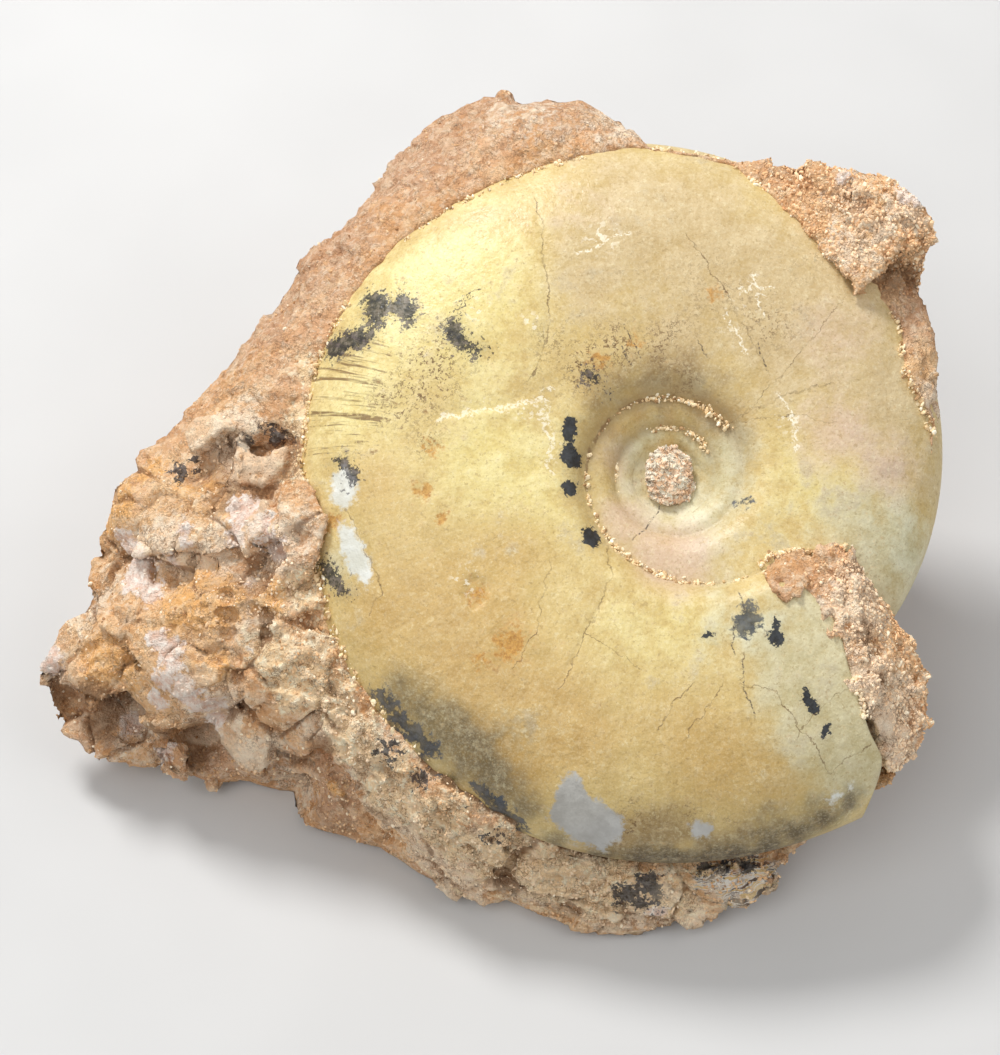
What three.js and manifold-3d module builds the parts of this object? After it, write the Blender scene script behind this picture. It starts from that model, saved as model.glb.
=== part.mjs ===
// Fossil ammonite: a smooth, tightly coiled shell lying half sunk in its block of rough limestone.
// Millimetres, +Z up. The origin is at the middle of the flat base, on the ground.
// The coil is laid out in slab coordinates: u to the right, v up the slope and w out of the rock,
// with the coil's axis at u = v = 0 and its middle plane at w = 0.
import * as THREE from "three";
import { ConvexGeometry } from "three/addons/geometries/ConvexGeometry.js";
import { mergeVertices } from "three/addons/utils/BufferGeometryUtils.js";
import Module from "manifold-3d";

// Place of the slab over the ground
const SLAB_TILT = 24; // degrees, the face leans back from the front edge
const AXIS_X = 31.6; // slab origin over the middle of the base
const AXIS_Y = -0.95;
const AXIS_Z = 46;

// Coil of the shell
const MOUTH_ANGLE = -49; // degrees, where the last whorl ends
const TURNS = 2.8; // turns that show before the centre fills up
const RIM_RADIUS = 71.4; // outer radius at the mouth, before the lean
const GROWTH = 1.45; // growth of the radius in one turn
const SEAM_SHARE = 0.245; // inner edge of a whorl over its outer radius
const SEAM_TIGHTEN = 0.93; // change of that share in one turn inwards
const MOUTH_FLARE = 0.075; // extra share of the inner edge at the mouth
const FLARE_TURNS = 0.12;
const FULLNESS = 0.205; // half thickness of a whorl over its outer radius
const CREST_PLACE = 0.35; // thickest place, as a share of the whorl's width
const INNER_WALL = 0.12; // reach of a whorl's steep inner wall, as a share of its width
const INNER_SLOPE = 0.4; // reach of its gentle inner slope
const RIM_POWER = 2.5;
const RIM_ROUND = 0.6;
// The mouth's edge sweeps forward at the shoulder and back at the rim, in degrees
const SWEEP_FORWARD = 4.3;
const SWEEP_BACK = 5.8;
const SWEEP_FADE = 0.12; // turns behind the mouth where the sweep has faded away
// The coil was pressed a little out of round: shares of the radius along cosine and sine
const LEAN_INSIDE = [0.055, -0.03];
const LEAN_OUTSIDE = [-0.058, 0.058];
const LEAN_TWICE = -0.019;
const LEAN_FROM = 14; // radius where the inner lean starts to turn into the outer one
const LEAN_FULL = 40;

// Steps of the faceted shell
const STEPS_PER_TURN = 60;
const INNER_ROWS = 3;
const OUTER_ROWS = 6;

const GAP = 0.3; // between the shell and the stone around it
const LIP = 0.75; // height of the stone's edge over the shell

// Outline of the block on the slab, anticlockwise from the right: u, v, w
const OUTLINE = [
  [46.0, 3.0, -6], [46.2, 9.0, -5], [46.5, 14.5, -3], [46.2, 21.0, -1], [45.0, 27.0, 0.5],
  [44.2, 33.0, 2], [44.6, 37.5, 4], [46.4, 40.2, 9], [46.6, 43.0, 11], [44.9, 46.0, 11.5],
  [41.1, 49.0, 11.5], [38.0, 52.0, 10.5], [31.3, 53.6, 9], [26.3, 55.2, 8], [18.5, 55.6, 6],
  [12.7, 56.9, 4], [4.9, 58.7, 3], [-2.1, 59.8, 2], [-5.2, 63.8, 1], [-10.1, 67.6, 0],
  [-14.9, 70.7, -1], [-20.5, 70.9, -2], [-24.5, 71.0, -2], [-28.5, 72.5, -2.5], [-32.0, 72.4, -3],
  [-36.6, 70.0, -4], [-41.3, 67.5, -5], [-45.3, 63.6, -5], [-51.4, 54.9, -6], [-56.8, 48.6, -6],
  [-65.0, 42.0, -6], [-67.8, 36.5, -7], [-71.5, 30.5, -7], [-79.8, 20.7, -9], [-84.6, 15.4, -9],
  [-90.5, 9.9, -10], [-99.0, 1.5, -11], [-99.5, -3.6, -12], [-101.3, -11.0, -13],
  [-102.7, -19.0, -13], [-106.7, -23.9, -14], [-111.4, -31.0, -15.5], [-110.5, -36.5, -17],
  [-107.5, -41.2, -18], [-101.0, -47.2, -18], [-93.2, -47.9, -19], [-87.0, -48.0, -20],
  [-80.5, -50.8, -20], [-74.5, -50.2, -21], [-67.0, -52.4, -21], [-64.2, -58.5, -20],
  [-57.7, -61.1, -20], [-50.5, -62.0, -19], [-43.0, -67.0, -17.5], [-35.4, -71.0, -16],
  [-27.0, -71.8, -15.5], [-19.1, -76.0, -14], [-12.0, -77.6, -14], [-4.6, -77.9, -14],
  [3.0, -76.3, -13], [10.5, -72.8, -12], [18.3, -69.2, -12], [20.5, -65.0, -11],
  [28.0, -59.0, -9], [36.0, -53.0, -6], [39.5, -50.5, -2.6], [42.3, -46.2, -1.6], [43.8, -41.0, 0],
  [44.5, -36.0, 0], [43.0, -32.5, 0], [39.6, -28.5, -1], [37.6, -24.0, -3], [41.0, -17.0, -6],
  [43.8, -10.5, -6.5], [45.5, -4.0, -6.5],
];

// Where the stone meets the shell: angle round the axis in degrees, radius, w
const CONTACT = [
  [-22, 43, -7], [0, 44, -8], [7, 45.6, -4], [10, 46.3, 0], [14, 46.8, 4.5], [18.5, 46, 5.8],
  [23, 45.7, 6.5], [28, 46.1, 6.7], [32.7, 48.3, 5.6], [38.5, 48.3, 6.3], [42, 47, 5], [49, 49, 5],
  [60, 51.5, 5], [69, 53.5, 5], [74.5, 55.4, 5.5], [79, 58.4, 3], [85, 59.1, 3], [93, 59.6, 3.8],
  [101, 58.9, 5], [108, 58.9, 5.7], [115, 59.3, 5.8], [126, 60.5, 5.4], [132, 61.4, 4.8],
  [138, 62.2, 4.2], [144, 62.9, 3.7], [152, 63.7, 3], [164, 63.9, 2.9], [176, 62.9, 3.9],
  [189, 62.6, 4.2], [199, 62.4, 4.5], [205, 63.3, 3.6], [217, 63.8, 3.5], [225, 63.8, 3.4],
  [233, 64.3, 2.4], [240, 64.1, 1], [249, 64.8, -3], [257, 65, -6], [270, 64.3, -8], [297, 62, -9],
  [307, 61, -8], [314, 52, -8], [330, 43, -8],
];

// Share of the outline that the flat base keeps, by angle round the middle of the base
const BASE_SHARE = [
  [0, 0.75], [45, 0.78], [90, 0.82], [135, 0.8], [165, 0.72], [180, 0.65], [205, 0.62],
  [215, 0.76], [225, 0.88], [240, 0.93], [265, 0.96], [283, 0.9], [292, 0.8], [304, 0.72],
  [320, 0.7], [345, 0.74],
];

// Steps down the walls: share of the height, and share of the way in to the base
const WALL_STEPS = [[0.12, 0.03], [0.3, 0.14], [0.5, 0.32], [0.7, 0.58], [0.88, 0.86], [1, 1]];
const WALL_HOLLOWS = 0.035; // depth of the walls' hollows, as a share of their reach

// Swellings and hollows of the stone's face: u, v, radius, height
const SWELLINGS = [
  [-88, -6, 9, 2.6], [-76, -22, 9, 2.2], [-100, -28, 9, 2.4], [-86, -34, 8, 2.4],
  [-70, -36, 7, 2.4], [-74, 22, 8, 2], [-55, 52, 7, 1.6], [-22, 66, 8, 1.8],
  [-58, -47, 6, 2], [-40, -58, 6, 1.8], [-5, -71, 6, 1.4],
  [-70, 5, 5, -3], [-83, 1, 5, -2.4], [-93, -39, 6, -2.2], [-80, -43, 5, -2.4],
  [-62, -54, 4, -2.6], [-88, -18, 4, -1.6],
];

// Wedge of stone that laps over the shell at the upper right, with an overhang on its lower side
const UPPER_WEDGE = [
  [12, 56.7, 3.6], [14.8, 52.9, 6.1], [19.2, 49.5, 7.2], [23.7, 47.2, 7.6], [26.2, 42.6, 9.2],
  [29.8, 39.6, 9.4], [31.7, 35.6, 10], [31.4, 32.8, 10.2], [30.2, 29.8, 10.2], [13.5, 56.9, 4],
  [18.5, 55.6, 7], [26.3, 55.2, 8.6], [31.3, 53.6, 10.2], [38, 51.8, 11.3], [41.1, 49, 12.6],
  [44.9, 46, 12.6], [46.6, 43, 12], [46.4, 40.3, 10.8], [41.6, 38.2, 12.4], [36.6, 35, 12.2],
  [32.9, 31.4, 11], [36, 42, 13.4], [41, 44, 13.4], [33, 35, 4], [44, 42, 3], [42, 47, -6],
  [20, 52, -6], [35, 38, -4],
];

// Stone that fills the mouth of the last whorl: a crest with a long face falling to the right
const MOUTH_WEDGE = [
  [15.8, -15.2, 10.4], [20.8, -15, 11.6], [25.3, -15.2, 13], [29.6, -14, 14.2],
  [15.4, -17.6, 10.5], [20, -21.6, 13], [24, -22.4, 14.6], [26.2, -26.4, 15], [28.2, -31, 14.8],
  [29.6, -36.6, 14.2], [32, -42.6, 12.6], [34.4, -47.2, 10], [36.2, -50.8, 5], [38.5, -50.6, 1.4],
  [31.6, -16.4, 12], [35.4, -22.6, 8.6], [39, -27.6, 4.6], [43, -32.6, 3], [44.5, -36.5, 2.6],
  [43.6, -41, 2.4], [42, -46.4, 1.6], [20, -17, -4], [37, -26, -9], [40, -37, -11], [36, -46, -10],
  [29, -38, -9], [33, -37, 14.4], [30, -25, 15.2],
];

// Loose-edged chunks on the block: each is the hull of its corner points
const CHUNKS = [
  // block that laps over the left edge of the shell
  [[-63, 1, 5.4], [-60, -3.5, 8.2], [-58.2, -8.3, 9.1], [-59.2, -14, 8.6], [-61, -18.5, 6.4],
    [-67, -21, 5], [-71, -13, 5.2], [-69, -4, 4.6], [-64, -9, 9.2], [-64, -14, 8.8],
    [-66, 1, 0], [-62, -19, 0], [-73, -12, 0]],
  // nubs under the left lobe
  [[-90, -45, -13], [-83, -44, -13], [-84, -50.5, -17], [-89, -50, -17.5], [-86, -46, -24]],
  [[-103, -33, -7], [-95, -30, -6], [-93, -36, -8], [-101, -40, -10], [-98, -35, -18]],
  // shell-bearing lip at the foot of the slope
  [[6, -66.5, -6.5], [16.5, -65.5, -7.2], [18.6, -68.2, -9], [14, -72, -11], [6, -72.6, -11.5],
    [1, -70, -9], [9, -68, -18]],
];

// Sediment left in the middle of the coil: angle in degrees, radius, w of the rough top
const PLUG_EDGE = [
  [0, 4.3, 5.4], [40, 4.6, 5.9], [75, 5.2, 5.5], [110, 4.9, 6.1], [150, 4.2, 5.5],
  [190, 4.1, 6], [235, 5, 5.3], [270, 5.3, 5.7], [310, 4.6, 5.6],
];
const PLUG_TOP = 6.6;
const PLUG_FOOT = 1;

const radians = THREE.MathUtils.degToRad;
const tilt = radians(SLAB_TILT);

// Slab coordinates to the block's own frame
function fromSlab([u, v, w]) {
  return [
    u + AXIS_X,
    v * Math.cos(tilt) - w * Math.sin(tilt) + AXIS_Y,
    v * Math.sin(tilt) + w * Math.cos(tilt) + AXIS_Z,
  ];
}

// Value at an angle from a list of [angle, value, ...], read round the full circle
function aroundCircle(list, angle, column) {
  const turn = THREE.MathUtils.euclideanModulo(angle - list[0][0], 360) + list[0][0];
  const after = list.findIndex((entry) => entry[0] > turn);
  const next = after < 0 ? list[0] : list[after];
  const last = after < 0 ? list[list.length - 1] : list[after - 1];
  const span = after < 0 ? 360 + next[0] - last[0] : next[0] - last[0];
  return THREE.MathUtils.lerp(last[column], next[column], (turn - last[0]) / span);
}

// Even small roughness between -0.5 and 0.5
function roughness(i, j) {
  const value = Math.sin(i * 12.9898 + j * 78.233) * 43758.5453;
  return value - Math.floor(value) - 0.5;
}

// Shell

const rimAt = (back) => RIM_RADIUS * GROWTH ** -back;
const crestAt = (back) => FULLNESS * rimAt(back);

// Radius of a whorl's inner edge, which flares at the mouth
function seamAt(back) {
  const flare = MOUTH_FLARE * Math.exp(-((Math.max(back, 0) / FLARE_TURNS) ** 1.2));
  return (SEAM_SHARE * SEAM_TIGHTEN ** back + flare) * rimAt(back);
}

// Place of a radius across a whorl: 0 at its inner edge, 1 at its rim
const placeAcross = (back, radius) => (radius - seamAt(back)) / (rimAt(back) - seamAt(back));

// How far the side has fallen towards a whorl's inner edge: a gentle slope, then a wall
function innerFall(place) {
  const wall = Math.max(0, 1 - place / INNER_WALL) ** 2.2;
  const slope = Math.max(0, 1 - place / INNER_SLOPE) ** 2;
  return 0.75 * wall + 0.25 * slope;
}

// Height of a whorl's side over the middle plane, as a share of its thickest place
function sideHeight(place, drop) {
  const t = THREE.MathUtils.clamp((place - CREST_PLACE) / (1 - CREST_PLACE), 0, 1);
  return (1 - drop * innerFall(place)) * Math.max(0, 1 - t ** RIM_POWER) ** RIM_ROUND;
}

// Drop from the crest to the inner edge where each whorl lies on a smaller copy of itself
function steadyDrop() {
  const covered = (SEAM_SHARE * (GROWTH - 1)) / (1 - SEAM_SHARE);
  return (GROWTH - 1) / (GROWTH - innerFall(covered));
}

// Drop of a whorl's inner edge, which rests on the side of the whorl inside it
function seamDrop(back) {
  const place = placeAcross(back + 1, seamAt(back));
  const resting = sideHeight(place, steadyDrop()) / GROWTH;
  const steady = THREE.MathUtils.smoothstep(back, 0.5, 0.9);
  return THREE.MathUtils.lerp(1 - resting, steadyDrop(), steady);
}

// The coil's lean out of round, as a factor on the radius
function leanFactor(angle, radius) {
  const inside = LEAN_INSIDE[0] * Math.cos(angle) + LEAN_INSIDE[1] * Math.sin(angle);
  const outside =
    LEAN_OUTSIDE[0] * Math.cos(angle) + LEAN_OUTSIDE[1] * Math.sin(angle) +
    LEAN_TWICE * Math.cos(2 * angle);
  const share = THREE.MathUtils.smoothstep(radius, LEAN_FROM, LEAN_FULL);
  return 1 + THREE.MathUtils.lerp(inside, outside, share);
}

// Turn of the mouth's edge from a straight line, in degrees
function mouthSweep(back, place) {
  const { smoothstep } = THREE.MathUtils;
  const forward = smoothstep(place, 0, 0.18) * (1 - smoothstep(place, 0.3, 0.55));
  const backward = smoothstep(place, 0.38, 0.82);
  const fade = Math.max(0, 1 - back / SWEEP_FADE) ** 2;
  return (SWEEP_FORWARD * forward - SWEEP_BACK * backward) * fade;
}

// A point of the shell's upper side, with the lean added
function coilPoint(back, place) {
  const angle = radians(MOUTH_ANGLE - 360 * back + mouthSweep(back, place));
  const radius = THREE.MathUtils.lerp(seamAt(back), rimAt(back), place);
  const height = crestAt(back) * sideHeight(place, seamDrop(back));
  const leaned = radius * leanFactor(angle, radius);
  return [leaned * Math.cos(angle), leaned * Math.sin(angle), height];
}

// Both sides of the coil, closed at the mouth and at the middle
function shellGeometry() {
  const turn = STEPS_PER_TURN;
  const last = Math.round(TURNS * turn);
  const rowsOut = INNER_ROWS + OUTER_ROWS;
  const points = [];
  const faces = [];
  const upper = new Map();
  const lower = new Map();

  const addPoint = (point) => points.push(point) - 1;
  for (let i = 0; i <= last; i++) {
    const back = i / turn;
    // where the whorl outside begins to cover this one
    const split = placeAcross(back, Math.min(seamAt(back - 1), rimAt(back) * 0.5));
    const rows = i <= turn ? rowsOut : INNER_ROWS;
    for (let j = 0; j <= rows; j++) {
      if (i > turn && j === INNER_ROWS) break;
      const t = (j - INNER_ROWS) / OUTER_ROWS;
      const place = j <= INNER_ROWS
        ? split * (j / INNER_ROWS) ** 1.2
        : split + (1 - split) * (1 - (1 - t) ** 1.5);
      const [u, v, w] = coilPoint(back, place);
      upper.set(`${i},${j}`, addPoint([u, v, w]));
      lower.set(`${i},${j}`, j === rowsOut ? upper.get(`${i},${j}`) : addPoint([u, v, -w]));
    }
  }
  // an inner whorl ends on the inner edge of the whorl outside it
  for (let i = turn; i <= last; i++) {
    upper.set(`${i},${INNER_ROWS}`, upper.get(`${i - turn},0`));
    lower.set(`${i},${INNER_ROWS}`, lower.get(`${i - turn},0`));
  }

  // every face is made on the upper side and once more, turned round, on the lower side
  const addQuad = (keys) => {
    for (const [side, order] of [[upper, [0, 1, 2, 3]], [lower, [3, 2, 1, 0]]]) {
      const [a, b, c, d] = order.map((k) => side.get(keys[k]));
      faces.push([a, b, c], [a, c, d]);
    }
  };
  for (let i = 0; i < last; i++) {
    const rows = i < turn ? rowsOut : INNER_ROWS;
    for (let j = 0; j < rows; j++) {
      addQuad([`${i},${j}`, `${i + 1},${j}`, `${i + 1},${j + 1}`, `${i},${j + 1}`]);
    }
  }
  // the flat mouth, between the last section and the whorl inside it
  for (let j = 0; j < rowsOut; j++) {
    const inner = Math.min(INNER_ROWS + j, rowsOut);
    const innerNext = Math.min(INNER_ROWS + j + 1, rowsOut);
    addQuad([`0,${j}`, `0,${j + 1}`, `${turn},${innerNext}`, `${turn},${inner}`]);
  }
  // the middle, from the innermost inner edge to a point on the axis
  const edge = [];
  for (let i = last - turn; i <= last; i++) edge.push(`${i},0`);
  for (let j = 1; j <= INNER_ROWS; j++) edge.push(`${last},${j}`);
  const floor = coilPoint(TURNS, 0)[2] * 0.8;
  upper.set("axis", addPoint([0, 0, floor]));
  lower.set("axis", addPoint([0, 0, -floor]));
  for (let k = 0; k + 1 < edge.length; k++) {
    for (const [side, turned] of [[upper, false], [lower, true]]) {
      const [a, b] = [side.get(edge[k]), side.get(edge[k + 1])];
      faces.push(turned ? [b, side.get("axis"), a] : [a, side.get("axis"), b]);
    }
  }
  return indexedGeometry(points, faces);
}

// The shell grown by the gap all round, for cutting its bed into the stone
function grownShellGeometry() {
  const geometry = shellGeometry();
  geometry.computeVertexNormals();
  const place = geometry.getAttribute("position");
  const normal = geometry.getAttribute("normal");
  for (let i = 0; i < place.count; i++) {
    place.setXYZ(
      i,
      place.getX(i) + normal.getX(i) * GAP * 1.15,
      place.getY(i) + normal.getY(i) * GAP * 1.15,
      place.getZ(i) + normal.getZ(i) * GAP * 1.15,
    );
  }
  geometry.deleteAttribute("normal");
  return geometry;
}

function indexedGeometry(points, faces) {
  const proper = faces.filter(([a, b, c]) => a !== b && b !== c && c !== a);
  const geometry = new THREE.BufferGeometry();
  geometry.setAttribute(
    "position",
    new THREE.Float32BufferAttribute(points.map(fromSlab).flat(), 3),
  );
  geometry.setIndex(proper.flat());
  return geometry;
}

// Stone

// The block: a low floor under the shell, the rough face round it, and walls down to the base
function blockGeometry() {
  const across = [0.1, 0.26, 0.45, 0.64, 0.82, 1];
  const points = [];
  const columns = OUTLINE.map(([u, v, w], i) => {
    const angle = THREE.MathUtils.radToDeg(Math.atan2(v, u));
    const reach = Math.hypot(u, v);
    const contact = Math.min(aroundCircle(CONTACT, angle, 1), reach - 1.5);
    const lip = aroundCircle(CONTACT, angle, 2) + LIP;
    const column = [];
    const add = (point) => column.push(points.push(point) - 1);
    const along = (radius, height) => [(u / reach) * radius, (v / reach) * radius, height];
    add(along(contact * 0.55, 0));
    add(along(contact - 1.6, Math.min(0, lip - 1)));
    add(along(contact, lip));
    for (const share of across) {
      const radius = THREE.MathUtils.lerp(contact, reach, share);
      const point = along(radius, THREE.MathUtils.lerp(lip, w, share ** 1.7));
      if (share < 1) {
        for (const [su, sv, size, height] of SWELLINGS) {
          const far = Math.hypot(point[0] - su, point[1] - sv) / size;
          point[2] += height * Math.exp(-far * far);
        }
        point[2] += roughness(i, share * 10) * Math.min(1.6, (reach - contact) * 0.12);
      }
      add(point);
    }
    return column;
  });

  // from here on the points are in the block's own frame
  const placed = points.map(fromSlab);
  OUTLINE.forEach((outline, i) => {
    const [x, y, z] = fromSlab(outline);
    const angle = THREE.MathUtils.radToDeg(Math.atan2(y, x));
    const share = aroundCircle(BASE_SHARE, angle, 1);
    for (const [down, inset] of WALL_STEPS) {
      const around = radians(angle);
      const wave = Math.sin(5 * around + 7 * down + 2 * Math.sin(3 * around)) + 1;
      const hollow = (wave * WALL_HOLLOWS + (roughness(i, down * 10) + 0.5) * 0.02) * (1 - down);
      const keep = 1 - (1 - share) * inset - hollow * Math.min(1, down * 5);
      columns[i].push(placed.push([x * keep, y * keep, z * (1 - down)]) - 1);
    }
  });
  const top = placed.push(fromSlab([0, 0, 0])) - 1;
  const foot = placed.push([0, 0, 0]) - 1;
  const faces = [];
  columns.forEach((column, i) => {
    const next = columns[(i + 1) % columns.length];
    faces.push([top, column[0], next[0]]);
    for (let j = 0; j + 1 < column.length; j++) {
      faces.push([column[j], column[j + 1], next[j + 1]], [column[j], next[j + 1], next[j]]);
    }
    faces.push([foot, next[next.length - 1], column[column.length - 1]]);
  });
  const geometry = new THREE.BufferGeometry();
  geometry.setAttribute("position", new THREE.Float32BufferAttribute(placed.flat(), 3));
  geometry.setIndex(faces.flat());
  return geometry;
}

// Hull of hand-placed corner points
function chunkGeometry(corners) {
  return new ConvexGeometry(corners.map((corner) => new THREE.Vector3(...fromSlab(corner))));
}

// Rough lump in the middle of the coil
function plugGeometry() {
  const corners = [[0, 0, PLUG_TOP], [1.6, -1.4, PLUG_TOP], [-1.5, 1.2, PLUG_TOP - 0.3]];
  for (const [angle, radius, w] of PLUG_EDGE) {
    const [u, v] = [Math.cos(radians(angle)), Math.sin(radians(angle))];
    corners.push([u * radius, v * radius, w], [u * radius * 0.8, v * radius * 0.8, PLUG_FOOT]);
  }
  return chunkGeometry(corners);
}

// Solids

const wasm = await Module();
wasm.setup();

function solid(geometry) {
  for (const name of Object.keys(geometry.attributes)) {
    if (name !== "position") geometry.deleteAttribute(name);
  }
  const merged = mergeVertices(geometry, 1e-3);
  return new wasm.Manifold(
    new wasm.Mesh({
      numProp: 3,
      vertProperties: merged.attributes.position.array,
      triVerts: new Uint32Array(merged.index.array),
    }),
  );
}

function meshOf(body, name, look) {
  const { vertProperties, triVerts, numProp } = body.getMesh();
  const geometry = new THREE.BufferGeometry();
  const interleaved = new THREE.InterleavedBuffer(vertProperties, numProp);
  geometry.setAttribute("position", new THREE.InterleavedBufferAttribute(interleaved, 3, 0));
  geometry.setIndex(Array.from(triVerts));
  const plain = geometry.toNonIndexed();
  plain.computeVertexNormals();
  const mesh = new THREE.Mesh(plain, new THREE.MeshStandardMaterial(look));
  mesh.name = name;
  return mesh;
}

const shell = solid(shellGeometry());
const mouthTurn = radians(MOUTH_ANGLE + 90);
const outOfMouth = [
  Math.cos(mouthTurn) * GAP,
  Math.sin(mouthTurn) * Math.cos(tilt) * GAP,
  Math.sin(mouthTurn) * Math.sin(tilt) * GAP,
];
const bed = solid(grownShellGeometry()).add(shell.translate(outOfMouth));
let stone = solid(blockGeometry());
for (const corners of [UPPER_WEDGE, MOUTH_WEDGE, ...CHUNKS]) {
  stone = stone.add(solid(chunkGeometry(corners)));
}
stone = stone.subtract(bed);
const plug = solid(plugGeometry()).subtract(bed);

const fossil = new THREE.Group();
fossil.add(
  meshOf(shell, "ammonite", { color: 0xc2ad62, roughness: 0.42, metalness: 0 }),
  meshOf(stone, "matrix", { color: 0xc4885c, roughness: 0.95, metalness: 0 }),
  meshOf(plug, "umbilicus_fill", { color: 0xb9825e, roughness: 0.95, metalness: 0 }),
);

export default fossil;
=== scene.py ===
"""Fossil ammonite: a smooth coiled shell lying half sunk in a rough limestone block.

Lengths are in millimetres until a mesh is made, and metres in Blender. The coil is laid out on a
slab that leans back: u to the right, v up the slope, w out of the rock, with the coil's axis at
u = v = 0 and its middle plane at w = 0.
"""
import math

import bmesh
import bpy
import numpy as np
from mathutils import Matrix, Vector


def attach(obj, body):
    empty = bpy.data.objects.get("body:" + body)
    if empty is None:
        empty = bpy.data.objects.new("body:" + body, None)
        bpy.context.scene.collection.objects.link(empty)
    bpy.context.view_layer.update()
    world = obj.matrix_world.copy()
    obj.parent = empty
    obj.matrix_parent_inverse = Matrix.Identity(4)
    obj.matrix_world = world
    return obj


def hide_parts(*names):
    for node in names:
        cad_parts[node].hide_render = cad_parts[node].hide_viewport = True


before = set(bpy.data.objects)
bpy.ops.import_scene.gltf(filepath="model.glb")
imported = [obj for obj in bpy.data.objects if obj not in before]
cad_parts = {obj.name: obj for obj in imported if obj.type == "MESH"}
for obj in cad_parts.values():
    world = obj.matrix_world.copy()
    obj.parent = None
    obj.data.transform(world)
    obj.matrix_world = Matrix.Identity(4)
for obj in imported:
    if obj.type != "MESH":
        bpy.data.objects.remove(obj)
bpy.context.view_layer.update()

MM = 0.001

# Place of the slab over the ground
SLAB_TILT = math.radians(24)
SLAB_ORIGIN = np.array([31.6, -0.95, 46.0])
ACROSS = np.array([1.0, 0.0, 0.0])
UPSLOPE = np.array([0.0, math.cos(SLAB_TILT), math.sin(SLAB_TILT)])
OUTWARD = np.array([0.0, -math.sin(SLAB_TILT), math.cos(SLAB_TILT)])

# Camera
CAMERA_ELEVATION = math.radians(55)
CAMERA_DISTANCE = 380.0
CAMERA_LENS = 75.0
SENSOR_HEIGHT = 36.0
CAMERA_TARGET = SLAB_ORIGIN + np.array([-28.79, -7.65, -3.40])

# Coil of the shell
MOUTH_ANGLE = math.radians(-49)
TURNS = 2.8
RIM_RADIUS = 71.4
GROWTH = 1.45
SEAM_SHARE = 0.245
SEAM_TIGHTEN = 0.93
MOUTH_FLARE = 0.075
FLARE_TURNS = 0.12
FULLNESS = 0.205
INNER_WALL, INNER_SLOPE = 0.12, 0.4  # reach of a whorl's steep inner wall and gentle inner slope
CREST_PLACE = 0.35
RIM_POWER = 2.5
RIM_ROUND = 0.6
LEAN_INSIDE = (0.055, -0.03)
LEAN_ONCE = (-0.058, 0.058)
LEAN_TWICE = -0.019
LEAN_FROM, LEAN_FULL = 14.0, 40.0
STEPS_PER_TURN = 540
SHELL_ROWS = {"upper": (16, 92), "lower": (4, 18)}  # rows inside and outside the split

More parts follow.
